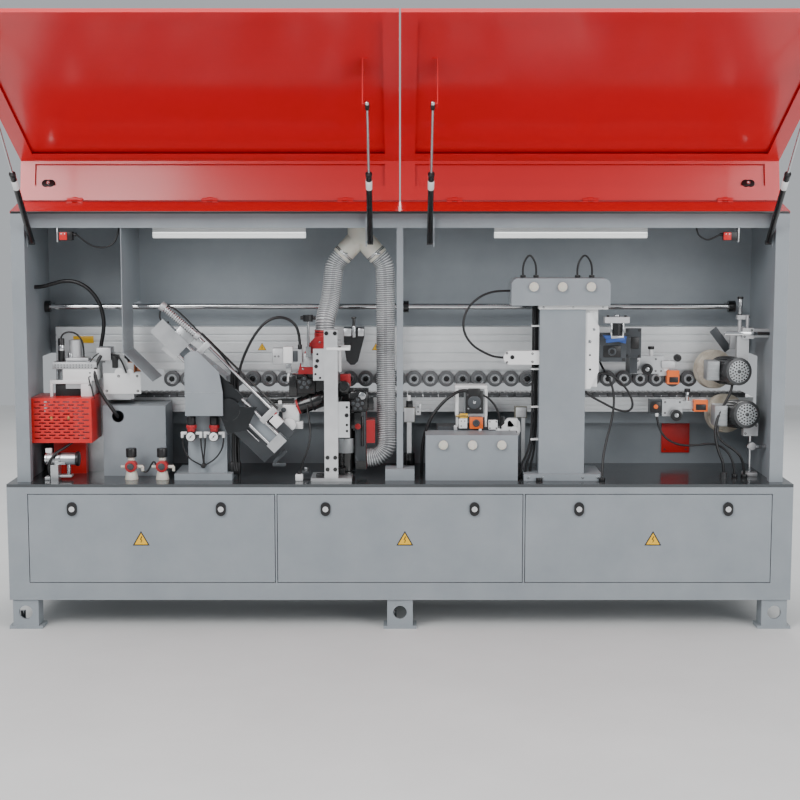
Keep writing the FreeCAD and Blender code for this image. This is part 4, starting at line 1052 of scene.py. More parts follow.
def makeGlueUnit(look):
    front = look["plateFront"]
    parts = [
        block((-1340, -196, 962), (-1204, -60, 1008), 2, "whitePlastic"),  # white cover of the pot
        block((-1392, -198, 950), (-1226, -186, 965), 1.5, "whitePlastic"),  # bracket in front: top, post and foot
        block((-1392, -198, 880), (-1381, -186, 951), 1.2, "whitePlastic"),
        block((-1270, -196, 898), (-1226, -60, 961), 2, "whitePlastic"),
        block((-1374, -180, 880), (-1274, -60, 948), 2, "blackPlastic"),  # dark box under the cover
        block((-1382, -192, 1008), (-1206, -40, 1036), 2.5, "castAlloy"),  # cast lid
        block((-1376, -150, 890), (-1368, -60, 1008), 1, "groundSteel"),  # side sheet
        # plate of the roller head, with two round tops
        block((-1186, front, 905), (-1037, -150.2, 988), 2, "whitePlastic"),
        drum("y", (-1122, (front - 150) / 2, 990), 20, -150.2 - front, 1, "whitePlastic", 36),
        drum("y", (-1080, (front - 150) / 2, 992), 14, -150.2 - front, 1, "whitePlastic", 36),
        block((-1210, -170, 1040), (-1152, -90, 1092), 3, "castAlloy"),  # hose block
        block((-1150, -160, 1010), (-1128, -110, 1062), 2, "blackPlastic"),  # plug
        drum("z", (-1353, -150, 1080), 13, 96, 3, "blackPlastic", 32),  # sensor with its bright ring
        drum("z", (-1353, -150, 1090), 13.6, 22, 1, "chrome", 32),
        drum("z", (-1317, -150, 1052), 10, 34, 2, "groundSteel", 28),  # filler neck and its saddle
        block((-1330, -180, 1034), (-1240, -120, 1052), 4, "castAlloy"),
        drum("x", (-1246, -186, 982), 3, 20, 0.5, "chrome", 16),  # cover pin
    ]
    for index in range(look["coilTurns"]):
        parts.append(drum("z", (-1112, -96, 1000 + 9 * index), 38 - 3 * (index % 2), 6, 2, "copperOld", 40))
    parts += [
        block((-1068, -130, 992), (-1020, -96, 1010), 3, "copperOld"),  # copper heater pipes
        block((-1102, -146, 990), (-1060, -120, 1032), 3, "copperOld"),
        drum("z", (-1100, -100, 1045), 11, 60, 2, "blackPlastic", 28),  # motor above the coil
    ]
    plateScrews = ((-1174, front, 917), (-1050, front, 917), (-1126, front, 977), (-1052, front, 977))
    parts += screws("y", plateScrews, look["screw"], "blackPlastic", 3)
    coverScrews = ((-1232, -196, 994), (-1232, -196, 979), (-1236, -196, 945))
    parts += screws("y", coverScrews, 3.4, "blackPlastic", 2)
    # perforations of the cast lid drawn as dark discs: painted shade of the holes
    holeShadeDiscs = [(-1370 + 12 * index, -192, 1016 + 9 * row) for index in range(13) for row in range(2)]
    parts += screws("y", holeShadeDiscs, 2.6, "darkPlate", 1.2)
    finishPiece("glueDetails", parts, "frame")
    label = block((-1350, 64.2, 1092), (-1266, 64.9, 1121), 0.2, "yellowFilm")
    finishPiece("beamLabel", [label], "beam")
    lead("primerHose", ((-1353, -150, 1128), (-1350, -150, 1142), (-1330, -148, 1154), (-1296, -144, 1150),
                        (-1272, -140, 1122), (-1266, -138, 1086), (-1266, -138, 1052)), 7)
    lead("potHose", ((-1192, -166, 1060), (-1206, -178, 1036), (-1215, -190, 1000), (-1206, -200, 956),
                     (-1182, -206, 906), (-1152, -202, 860), (-1130, -190, 824), (-1128, -178, 817)), 15)
    lead("thinPotHose", ((-1200, -168, 1070), (-1224, -174, 1056), (-1240, -184, 1016), (-1238, -196, 968),
                         (-1222, -204, 926), (-1216, -205, 890)), 6)
    lead("upperPotHose", ((-1165, -160, 1058), (-1150, -168, 1070), (-1124, -172, 1060),
                          (-1104, -172, 1030), (-1092, -168, 990)), 7)


# small fittings at the foot of the glue unit
valveLook = {"middle": (-1340, -265, 660), "radius": 24}


def makeValveTrim(look):
    x, y, z = look["middle"]
    parts = [
        # plug end, chrome collar and steel band
        drum("x", (x + 66, y, z), look["radius"] + 5, 14, 3, "blackPlastic", 32, ()),
        drum("x", (x - 56, y, z), look["radius"] + 1.5, 10, 2, "chrome", 32, ()),
        drum("x", (x - 10, y, z), look["radius"] + 0.8, 26, 1, "groundSteel", 32, ()),
        block((x - 62, y - 22, 577), (x - 40, y + 20, 590), 2, "castAlloy"),  # feet of the holder
        block((x - 44, y - 20, 588), (x + 44, y + 22, 597), 2, "castAlloy"),
        drum("z", (x + 30, y, 615), 8, 50, 2, "groundSteel", 24),  # drain pipe
        block((-1402, -262, 668), (-1378, -244, 700), 1.5, "whitePlastic"),  # white clip
    ]
    finishPiece("valveTrim", parts, "frame")
    guardScrews = screws("y", ((-1374, -265, 822), (-1306, -265, 822)), 5.5, "brassYellow", 4)
    finishPiece("guardScrews", guardScrews, "frame")
    lead("valveHose", ((-1300, -240, 722), (-1322, -262, 704), (-1352, -288, 690), (-1376, -300, 660),
                       (-1384, -300, 622), (-1376, -290, 590), (-1364, -280, 578)), 11)


makeGlueUnit(glueLook)
makeValveTrim(valveLook)
print("glue unit detailed")


# end cutting unit: actuator, chrome rods and plates on the guide
endcutLook = {"start": (-930, 1268), "end": (-792, 1148), "rodEnd": (-490, 845), "depth": -285, "rib": 9}


def makeEndcut(look):
    start, end, tip, y = look["start"], look["end"], look["rodEnd"], look["depth"]
    run = Vector((end[0] - start[0], 0, end[1] - start[1]))
    parts = [drum(run, ((start[0] + end[0]) / 2, y, (start[1] + end[1]) / 2), 13, run.length, 2,
                  "groundSteel", 32)]
    steps = int(run.length / look["rib"])
    for index in range(2, steps - 1):
        share = index / steps
        centre = (start[0] + run.x * share, y, start[1] + run.z * share)
        parts.append(drum(run, centre, 15, look["rib"] * 0.45, 0.8, "castAlloy", 28))
    parts.append(drum(run, (start[0] + 6, y, start[1] - 6), 18, 22, 3, "castAlloy", 32))  # end caps of the actuator
    parts.append(drum(run, (end[0], y, end[1]), 17, 20, 3, "castAlloy", 32))
    rod = Vector((tip[0] - end[0], 0, tip[1] - end[1]))
    middle = ((end[0] + tip[0]) / 2, y, (end[1] + tip[1]) / 2)
    parts.append(drum(rod, middle, 6, rod.length, 1, "chrome", 24))  # piston rod and the cable along it
    parts.append(drum(rod, (middle[0] + 13, y + 8, middle[2] + 13), 4.5, rod.length * 0.98, 1, "blackPaint",
                      20))
    # eye with its red bush
    parts.append(drum("y", (tip[0], y - 2, tip[1]), 14, 12, 2, "chrome", 36, ((5, 0), (0.6, 4))))
    parts.append(drum("y", (tip[0], y - 3, tip[1]), 7, 12, 1, "castRed", 24))
    for share in (0.12, 0.97):
        at = (end[0] + rod.x * share, end[1] + rod.z * share)
        parts.append(slantedBlock((at[0] + 10, at[1] + 10), (at[0] - 44, at[1] - 44), 26, y - 11, -263, 2,
                                  "castAlloy"))
    # bright cover of the guide's upper end
    parts.append(slantedBlock((-911, 1071), (-819, 1177), 74, -258, -250, 1.5, "alloy"))
    parts.append(slantedBlock((-500, 828), (-470, 798), 40, -300, -276, 2, "whitePlastic"))  # white stop at the eye
    finishPiece("endcutDetails", parts, "frame")
    back = slantedBlock((-640, 860), (-478, 700), 170, -242, -234, 2, "darkPlate")  # dark back plate
    slot = drum(rod, (-592, -246, 760), 3.5, 96, 0.8, "chrome", 16)  # bright scratch rail on it
    hook = [slantedBlock((-500, 640), (-452, 690), 16, -250, -238, 1.5, "darkPlate"),
            block((-506, -250, 626), (-452, -238, 640), 2, "darkPlate")]
    finishPiece("endcutBackPlate", [back, slot, *hook], "frame")
    lead("actuatorHose", ((-905, -262, 1200), (-926, -276, 1196), (-940, -284, 1222), (-930, -286, 1258),
                          (-900, -288, 1268), (-862, -290, 1244), (-800, -290, 1180), (-740, -286, 1120),
                          (-690, -262, 1062), (-658, -236, 1008)), 7)
    for index, (x, y) in enumerate(((-664, -224), (-655, -226), (-652, -204))):
        lead(f"bundleCable{index}", ((x, y, 1004), (x - 2, y, 960), (x + 3, y, 900), (x - 2, y, 830),
                                     (x + 2, y, 750), (x - 1, y, 680), (x + 2, y - 4, 630),
                                     (x + 8, y - 8, 604)), 11)
    trims = [block((-676, -232, 590), (-636, -196, 640), 4, "blackRubber")]
    trims += [block((-674, -244, z), (-636, -200, z + 5), 1, "whitePlastic") for z in (900, 860)]
    finishPiece("bundleBoot", trims, "frame")


makeEndcut(endcutLook)


# tapered front cover of the end cutting column, clear of the carriage that runs behind it
coverLook = {"front": -332, "rear": -318, "bend": 928, "foot": 838}


def makeColumnCover(look):
    low, high = look["front"], look["rear"]
    verts = []
    outer = ((-838, look["foot"]), (-690, look["foot"]), (-690, look["bend"]), (-704, 1010), (-786, 1092),
             (-812, 1092), (-838, 1072), (-838, look["bend"]))
    mesh = bpy.data.meshes.new("columnCover")
    for y in (low, high):
        verts += [(x * mm, y * mm, z * mm) for x, z in outer]
    count = len(outer)
    faces = [tuple(range(count)), tuple(range(2 * count - 1, count - 1, -1))]
    faces += [(index, (index + 1) % count, (index + 1) % count + count, index + count)
              for index in range(count)]
    mesh.from_pydata(verts, [], faces)
    plate = bpy.data.objects.new("columnCover", mesh)
    bpy.context.scene.collection.objects.link(plate)
    pickFaces(plate, lambda face: True)
    bpy.ops.mesh.normals_make_consistent(inside=False)
    bpy.ops.mesh.bevel(offset=2.5 * mm, segments=2, affect="EDGES")
    done()
    paint(plate, "bodyGrey")
    ridge = block((-838, low - 1.2, look["bend"] - 3), (-690, low + 1, look["bend"] + 3), 1, "bodyGrey")
    arm = block((-836, high - 2, look["foot"]), (-800, -244, look["foot"] + 16), 2, "bodyGrey")
    finishPiece("columnCover", [plate, ridge, arm], "frame")


makeColumnCover(coverLook)
print("end cutting unit detailed")


# air regulators: two low ones on the table and two with gauges on the column
airLook = {"table": (-1062, -940), "column": (-822, -732), "depth": -265}


def tableRegulator(x, y):
    return [
        drum("z", (x, y, 594), 27, 34, 2, "creamPlastic", 32, (), 20),  # bowl
        # body, its red face and dark dial
        drum("y", (x, y - 6, 632), 23, 40, 3, "castRed", 36, ((6, 0), (0.6, 3))),
        drum("y", (x, y - 27, 632), 13, 6, 1.5, "darkPlate", 28),
        drum("z", (x, y + 2, 660), 14, 14, 1, "creamPlastic", 28),
        drum("z", (x, y + 2, 684), 21, 36, 3, "blackPlastic", 18),  # setting knob
        drum("x", (x + 33, y, 628), 7, 26, 1.5, "creamPlastic", 24),  # elbow on the right, stub on the left
        drum("z", (x + 44, y, 620), 6, 20, 1.5, "creamPlastic", 24),
        drum("x", (x - 31, y, 628), 6, 22, 1.5, "creamPlastic", 24),
    ]


def gaugeRegulator(x, y):
    return [
        block((x - 17, y - 14, 738), (x + 17, -245, 786), 3, "blackPlastic"),  # body
        drum("z", (x, y - 3, 789), 21, 13, 2, "castRed", 32),  # red collars
        drum("z", (x, y - 3, 776), 18, 14, 2, "castRed", 32),
        drum("z", (x, y - 3, 813), 18, 34, 3, "blackPlastic", 18),  # setting knob
        drum("y", (x, y - 27, 752), 20, 14, 1.5, "blackPaint", 40),  # gauge with dial, needle and hub
        drum("y", (x, y - 34.4, 752), 17, 1.4, 0.3, "whitePlastic", 36),
        slantedBlock((x - 7, 745), (x + 8, 760), 1.8, y - 36.2, y - 35.2, 0.2, "blackPlastic"),
        drum("y", (x, y - 35.4, 752), 3, 1.6, 0.3, "blackPlastic", 20),
        drum("x", (x - 26, y - 4, 762), 6.5, 26, 1.5, "whitePlastic", 24),  # elbows on both sides
        drum("z", (x - 36, y - 4, 756), 6.5, 24, 1.5, "whitePlastic", 24),
        drum("x", (x + 26, y - 4, 762), 6.5, 26, 1.5, "whitePlastic", 24),
        drum("z", (x + 36, y - 4, 756), 6.5, 24, 1.5, "whitePlastic", 24),
    ]


def makeRegulators(look):
    parts = []
    for x in look["table"]:
        parts += tableRegulator(x, look["depth"])
    for x in look["column"]:
        parts += gaugeRegulator(x, look["depth"])
    parts.append(drum("y", (-777, -262, 632), 10, 24, 4, "blackRubber", 28))
    finishPiece("airRegulators", parts, "frame", ("regulators",))
    left, right = look["column"]
    lead("airHose0", ((left - 36, -269, 752), (left - 36, -269, 728), (left - 32, -268, 696),
                      (left - 14, -266, 664), (left + 14, -264, 644), (left + 36, -262, 634)), 6)
    lead("airHose1", ((left + 36, -269, 752), (left + 36, -269, 724), (left + 40, -267, 690),
                      (left + 44, -264, 656), (left + 44, -263, 641)), 6)
    lead("airHose2", ((right - 36, -269, 752), (right - 36, -269, 724), (right - 40, -267, 690),
                      (right - 44, -264, 656), (right - 43, -263, 641)), 6)
    lead("airHose3", ((right + 36, -269, 752), (right + 36, -269, 730), (right + 30, -268, 700),
                      (right + 10, -266, 668), (right - 16, -264, 646), (right - 36, -262, 635)), 6)
    lead("tableHose", ((-1018, -265, 612), (-1010, -264, 604), (-996, -262, 612), (-982, -262, 640),
                       (-974, -264, 650), (-966, -265, 640), (-964, -265, 628)), 7)


makeRegulators(airLook)
print("regulators made")


# hose clamps on the duct
clampLook = {"left": ((-236, 1452), (-24, -26)), "right": ((-86, 1452), (20.4, -23.4)), "radius": 42.4,
             "depth": -68}


def makeClamps(look):
    parts = []
    for place, run in (look["left"], look["right"]):
        heading = Vector((run[0], 0, run[1])).normalized()
        for step, radius in ((-14, look["radius"]), (-20, look["radius"] - 1.0)):
            centre = (place[0] - heading.x * -step, look["depth"], place[1] - heading.z * -step)
            parts.append(drum(heading, centre, radius, 5, 1.2, "groundSteel", 48))
        buckle = (place[0] - heading.x * 14 + 8, look["depth"] - look["radius"] - 2,
                  place[1] - heading.z * 14)
        parts.append(drum("x", buckle, 5, 20, 1, "chrome", 20))
    foot = drum("z", (-300, -150, 1158), 41.5, 8, 2, "castRed", 48)
    finishPiece("hoseClamps", [*parts, foot], "frame")


makeClamps(clampLook)


# trimming units: castings, motors, adjusters and small leads
trimLook = {"front": -200}


def makeTrimUpper(look):
    y = look["front"]
    parts = [
        block((-392, y - 3, 1018), (-326, y + 1, 1072), 2, "castAlloy"),  # blank plate on the casting
        block((-440, y - 22, 902), (-408, y + 20, 985), 4, "blackPaint"),  # cheek and cover of the saddle
        block((-418, y - 16, 912), (-335, y - 1, 972), 5, "blackPlastic"),
        # tilted motor, its rib and its red end
        drum((1, 0, 0.35), (-350, y + 10, 878), 34, 110, 5, "blackPaint", 36),
        drum((1, 0, 0.35), (-350, y + 10, 878), 37, 8, 2, "blackPlastic", 36),
        drum((1, 0, 0.35), (-395, y + 10, 862), 30, 30, 3, "castRed", 36),
        block((-342, -254, 978), (-306, y - 1, 1060), 3, "blackPlastic"),  # scale block
        drum("y", (-223, y - 20, 941), 25, 44, 4, "blackPaint", 36, ((8, 0), (0.6, 4))),  # round clamping knob
        block((-250, y - 12, 900), (-180, y + 4, 936), 4, "blackPaint"),  # its arm
        block((-238, y - 8, 940), (-196, y + 20, 990), 3, "castRed"),  # red guard
        block((-205, y - 20, 850), (-128, y - 1, 922), 6, "blackPaint"),  # rest of the lower star knob
        drum("y", (-150, y - 20, 905), 15, 26, 2, "groundSteel", 28),  # bright bush
        block((-130, y - 4, 846), (-104, y + 30, 900), 3, "blackPaint"),
        block((-222, -223, 1142), (-192, -212, 1172), 2, "alloy"),  # clamps at the motor's top
        block((-166, -223, 1142), (-143, -212, 1172), 2, "alloy"),
        drum("z", (-182, -222, 1160), 9, 46, 2, "groundSteel", 24),  # spindle through the motor, with its knob
        drum("z", (-182, -222, 1198), 6, 34, 2, "blackPaint", 24),
        drum("z", (-182, -222, 1214), 10, 8, 2, "blackPaint", 24),
        block((-286, -318, 1094), (-194, -314, 1105), 1, "whitePlastic"),  # white angle beside the column
        block((-243, -222, 1000), (-232, -214, 1105), 1.5, "whitePlastic"),
        block((-243, -222, 1094), (-196, -214, 1106), 1.5, "whitePlastic"),
        drum("x", (-262, -262, 1128), 3, 60, 0.5, "groundSteel", 16),  # cross pin
    ]
    parts += screws("y", ((-322, -308, 1078), (-330, -308, 1000), (-312, -308, 985)), 4.5, "blackPaint", 3)
    parts += screws("y", ((-322, -308, 1052), (-327, -308, 1030)), 7.5, "blackPlastic", 4)
    parts += screws("y", ((-208, -308, 870), (-208, -308, 800), (-208, -308, 776)), 5, "blackPaint", 3)
    parts += screws("y", ((-209, -308, 838),), 8, "blackPlastic", 4)
    parts += screws("y", ((-385, y, 1010), (-318, y, 1116), (-330, y, 1010)), 4.5, "groundSteel", 3)
    finishPiece("upperTrimDetails", parts, "frame")
    connector = [
        block((-504, -222, 1030), (-462, -180, 1094), 3, "castAlloy"),  # connector: cast end, white body, dark face
        block((-462, -226, 1034), (-424, -178, 1100), 4, "whitePlastic"),
        block((-424, -218, 1040), (-404, -182, 1084), 3, "darkPlate"),
        block((-452, -214, 996), (-430, -190, 1034), 2, "groundSteel"),
        drum("z", (-441, -202, 980), 9, 40, 2, "whitePlastic", 24, (), 5),  # cone peg
        drum("z", (-396, -208, 1098), 8.5, 20, 2, "blackPlastic", 24),
    ]
    connector += screws("y", ((-494, -222, 1062), (-480, -222, 1062)), 4, "blackPlastic", 2)
    finishPiece("trimConnector", connector, "frame")


def makeTrimLower(look):
    y = look["front"]
    parts = [
        block((-178, y + 5, 640), (-138, y + 9, 838), 3, "darkPlate"),  # front sheet of the casting
        drum("z", (-217, -160, 590), 38, 10, 2, "blackPaint", 36),  # motor foot and grey band
        drum("z", (-217, -160, 700), 37, 60, 2, "motorGrey", 36),
        block((-196, y - 2, 770), (-150, y + 8, 838), 3, "blackPaint"),  # clamp with its red button
        drum("y", (-168, y, 780), 12, 14, 2, "castRed", 28),
        drum("z", (-150, y, 760), 6, 120, 2, "blackPaint", 20),  # adjusting rod
        block((-392, -210, 588), (-360, -180, 600), 2, "darkPlate"),
        drum("z", (-376, -196, 606), 9, 18, 2, "groundSteel", 20),  # stop screw on its plate
        block((-250, -230, 590), (-218, -200, 616), 3, "blackPlastic"),
        block((-330, -300, 580), (-300, -270, 604), 3, "blackPlastic"),
    ]
    bracket = [
        block((-485, -205, 868), (-470, -160, 884), 2, "whitePlastic"),  # cast holder on the left
        block((-468, -208, 800), (-400, -160, 868), 7, "whitePlastic"),
        drum("y", (-440, -208, 790), 27, 40, 5, "whitePlastic", 36),  # round boss
        block((-420, -206, 770), (-386, -170, 800), 3, "whitePlastic"),
        drum("y", (-462, -214, 848), 10, 12, 2, "darkPlate", 24),
        block((-414, -214, 858), (-392, -196, 874), 2, "blackPaint"),
        block((-520, -200, 872), (-420, -178, 892), 3, "blackPaint"),
    ]
    finishPiece("lowerTrimDetails", parts, "frame")
    finishPiece("trimBracket", bracket, "frame")
    glands = []
    for x in (-397, -258):
        glands += [block((x - 15, -305, 577), (x + 15, -275, 603), 4, "whitePlastic"),
                   drum("z", (x, -290, 606), 8, 14, 2, "blackPlastic", 20)]
    finishPiece("tableGlands", glands, "frame")
    lead("leftTrimCable", ((-372, -214, 882), (-366, -232, 846), (-356, -256, 800), (-352, -272, 750),
                           (-362, -284, 700), (-382, -290, 656), (-397, -290, 598)), 8)
    lead("rightTrimCable", ((-232, -212, 900), (-240, -228, 872), (-246, -246, 820), (-246, -264, 760),
                            (-250, -280, 700), (-257, -290, 650), (-258, -290, 598)), 8)


makeTrimUpper(trimLook)
makeTrimLower(trimLook)


# the star knobs stay as the solid model has them; a dark cap and five raised pads finish each front
knobCapLook = {"lobes": 5, "padAway": 19, "padRadius": 6.5, "capRadius": 9, "drop": 1.5}


def makeKnobCaps(look):
    for body in ("upper_star_knob", "lower_star_knob"):
        low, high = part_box(body)
        centre = ((low.x + high.x) / 2 / mm, low.y / mm, (low.z + high.z) / 2 / mm)
        ribs = []
        for spoke in range(look["lobes"]):
            angle = math.pi / 2 + math.tau * spoke / look["lobes"]
            padX = centre[0] + math.cos(angle) * look["padAway"]
            padZ = centre[2] - look["drop"] + math.sin(angle) * look["padAway"]
            ribs.append(drum("y", (padX, centre[1] - 0.6, padZ), look["padRadius"], 2.4, 1, "darkPlate",
                             16))
        cap = drum("y", (centre[0], centre[1] - 1, centre[2] - look["drop"]), look["capRadius"], 4, 1.2,
                   "darkPlate", 28, ((3, 0), (0.5, 1.5)))
        finishPiece(body + "Cap", [cap, *ribs], body)


makeKnobCaps(knobCapLook)
print("trimming units detailed")


# profile unit
profileLook = {"front": -150}


def makeProfileUnit(look):
    y = look["front"]
    parts = [
        block((262, y - 8, 826), (334, y - 1, 918), 6, "blackPlastic"),  # motor front with its disc and hub
        drum("y", (298, y - 8, 872), 27, 8, 2, "darkPlate", 40),
        drum("y", (298, y - 12, 872), 6, 6, 1.5, "chrome", 24),
        block((220, y + 8, 922), (352, y + 90, 938), 6, "whitePlastic"),  # arch: top and two sides
        block((222, y + 9, 812), (236, y + 80, 924), 3, "whitePlastic"),
        block((338, y + 9, 812), (352, y + 80, 924), 3, "whitePlastic"),
        block((272, y - 14, 895), (322, y - 4, 928), 4, "blackPlastic"),  # plug on the motor
        block((240, y - 6, 808), (272, y - 1, 826), 2, "yellowFilm"),  # yellow strip over the white block
        block((236, y - 8, 766), (270, y - 1, 806), 2, "whitePlastic"),
        block((279, y - 10, 764), (333, y - 1, 812), 3, "orangePlastic"),  # orange insert with its wheel
        drum("y", (306, y - 10, 788), 15, 8, 2, "darkPlate", 32, ((4, 0), (0.5, 3))),
        drum("z", (322, y - 4, 757), 6, 16, 1.5, "whitePlastic", 20),
        block((355, y - 6, 760), (393, y + 2, 800), 5, "whitePlastic"),  # white square plate
        block((400, y - 2, 764), (420, y + 10, 812), 2, "blackPaint"),
        block((216, y - 4, 757), (230, y + 10, 778), 2, "castAlloy"),
        drum("x", (250, y - 3, 816), 5, 50, 1, "brassYellow", 20),  # brass pin
    ]
    parts += screws("y", ((274, y - 8, 846), (322, y - 8, 846), (274, y - 8, 902)), 3.4, "groundSteel", 2)
    parts += screws("y", squareOf(361, 387, y - 6, 767, 793), 3, "blackPaint", 2)
    parts += screws("y", ((246, y - 8, 796), (260, y - 8, 796), (246, y - 8, 776)), 2.6, "blackPaint", 1.5)
    finishPiece("profileDetails", parts, "frame")
    arm = [
        slantedBlock((392, 742), (452, 790), 34, y - 3, y + 6, 3, "whitePlastic"),
        block((428, y - 3, 768), (474, y + 6, 806), 6, "whitePlastic"),  # end of the arm, with its round boss
        drum("y", (462, y + 1.5, 752), 21, 9, 2.5, "whitePlastic", 40),
        drum("y", (464, y - 3, 750), 7, 4, 1, "blackPaint", 24),
    ]
    finishPiece("profileArm", arm, "frame")
    sensors = [
        block((17, y - 3, 792), (58, y + 1, 848), 3, "castAlloy"),  # face of the left sensor
        block((24, y + 1, 850), (52, y + 26, 876), 2, "blackPaint"),  # its head
        drum("z", (36, y + 12, 886), 7, 24, 1.5, "whitePlastic", 20),
        block((62, y + 4, 818), (84, y + 20, 864), 2, "alloy"),  # bright stop beside it
        drum("z", (38, y + 12, 640), 22, 50, 3, "blackPaint", 28),  # dark sleeve on its post
        block((466, y + 15, 808), (508, y + 19, 848), 2, "castAlloy"),  # face of the right sensor
    ]
    sensors += screws("y", ((73, y + 4, 852), (73, y + 4, 832)), 4, "blackPaint", 2)
    finishPiece("profileSensors", sensors, "frame")
    lead("profileCable", ((272, y - 4, 916), (248, y - 10, 922), (206, y - 16, 902), (160, y - 20, 862),
                          (120, y - 20, 806), (98, y - 16, 744), (90, y - 10, 690), (88, y - 4, 640),
                          (88, y, 600), (88, y, 578)), 13)
    lead("profileLoop", ((334, y - 4, 900), (352, y - 12, 892), (380, y - 18, 862), (396, y - 18, 826),
                         (402, y - 12, 792), (403, y - 6, 766)), 8)


buttonLook = {
    "rows": (((170, 285, 400), -299, 719), ((519, 630, 741), -314,
                                            1340)), "radius": 18.5, "thick": 8, "facets": 12,
}


def makeButtons(look):
    heads = []
    for row, y, z in look["rows"]:
        for x in row:
            heads.append(drum("y", (x, y, z), look["radius"], look["thick"], 2.4, "creamPlastic",
                              look["facets"], ((4, 0), (1.2, -1.5))))
    finishPiece("adjustButtons", heads, "frame")


makeProfileUnit(profileLook)
makeButtons(buttonLook)
print("profile unit detailed")


# corner unit: fastenings, cylinder rods and cable bundle
cornerLook = {"face": -260, "rear": -192}


def makeCorner(look):
    face, rear = look["face"], look["rear"]
    parts = [
        block((798, face - 4, 1062), (866, face + 0.5, 1108), 2, "blackPlastic"),  # raised middle of the dark face
        drum("y", (832, face - 2, 1084), 16, 8, 2, "darkPlate", 36, ((4, 0), (0.6, 3))),
        drum("z", (824, -294, 1170), 4, 58, 1, "chrome", 20),  # tie rods of the cylinder
        drum("z", (870, -294, 1170), 4, 58, 1, "chrome", 20),
        block((822, -302, 1138), (872, -262, 1149), 2, "alloy"),  # lower plate of the cylinder
        drum("z", (847, -278, 1226), 12, 8, 2, "groundSteel", 28),  # bolts on its cap
        drum("z", (812, -278, 1225), 5, 6, 1, "blackPlastic", 20),
        drum("z", (880, -278, 1225), 5, 6, 1, "blackPlastic", 20),
        slantedBlock((802, 1128), (876, 1136), 14, -304, -299, 2, "bluePlastic"),  # blue front edge of the wedge
        block((905, rear - 6, 1090), (948, rear + 0.5, 1136), 3, "blackPlastic"),  # raised middle of the rear plate
    ]
    parts += screws("y", squareOf(785, 878, face, 1053, 1149), 5.5, "blackPlastic", 4)
    parts += screws("y", squareOf(903, 949, rear, 1061, 1163), 5, "blackPlastic", 4)
    parts += screws("y", ((744, -266, 1124), (760, -266, 1172)), 6, "groundSteel", 4)
    parts += screws("y", ((745, -266, 1071), (746, -266, 1014)), 3.6, "blackPlastic", 3)
    clampScrews = ((420, -262, 1042), (420, -262, 1078), (520, -262, 1044), (520, -262, 1076))
    parts += screws("y", clampScrews, 4.5, "blackPlastic", 3)
    parts.append(drum("y", (441, -258, 1062), 8, 10, 2, "blackPlastic", 32, ((3, 0), (0.5, 2))))
    parts += screws("y", [(x, -281, 1259) for x in (560, 676, 792)], 4, "groundSteel", 3)
    parts += screws("y", [(x, -295, 590) for x in (506, 560, 720, 778)], 5.5, "groundSteel", 3)
    finishPiece("cornerDetails", parts, "frame")
    clips = [block((517, -245, z), (550, -205, z + 7), 2, "whitePlastic") for z in (1180, 1010, 860, 730)]
    for x, y in ((476, -240), (548, -302), (795, -300)):
        clips.append(drum("z", (x, y, 583), 13, 12, 2, "blackPlastic", 24))
    clips += [drum("z", (x, -200, 1377), 11, 10, 2, "blackPlastic", 24) for x in (485, 536, 700, 756)]
    finishPiece("cableClips", clips, "frame")
    for index, (x, y, foot) in enumerate(((524, -232, 480), (534, -224, 500), (542, -214, 520))):
        lead(f"columnCable{index}", ((x, y, 1262), (x, y, 1200), (x + 1, y, 1090), (x - 1, y, 960),
                                     (x, y, 830), (x - 4, y, 730), ((x + foot) / 2, y - 4, 670),
                                     (foot, y - 6, 630), (foot - 2, y - 8, 585)), 9)
    for index, (x, far) in enumerate(((485, 536), (700, 756))):
        lead(f"topLoop{index}", ((x, -200, 1378), (x - 2, -200, 1400), (x + 4, -200, 1436),
                                 ((x + far) / 2, -200, 1466), (far - 4, -200, 1436), (far + 2, -200, 1400),
                                 (far, -200, 1378)), 8)
    lead("sideLoop", ((733, -238, 959), (752, -232, 985), (790, -226, 1000), (850, -220, 984),
                      (906, -219, 925), (928, -221, 866), (905, -222, 840), (855, -223, 850),
                      (800, -224, 880), (752, -226, 905), (733, -230, 925)), 9)
    lead("sideDrop", ((790, -175, 1052), (800, -190, 1020), (838, -215, 960), (850, -232, 890),
                      (836, -246, 800), (812, -262, 720), (798, -284, 650), (795, -300, 589)), 9)


makeCorner(cornerLook)


# scraper heads
scraperLook = {"front": -120}


def ringKnob(x, z, front):
    ring = drum("y", (x, front - 32, z), 23, 12, 3, "blackPlastic", 40, ((5, 0), (0.6, 5)))
    middle = drum("y", (x, front - 33, z), 9, 8, 2, "groundSteel", 28)
    return [ring, middle]


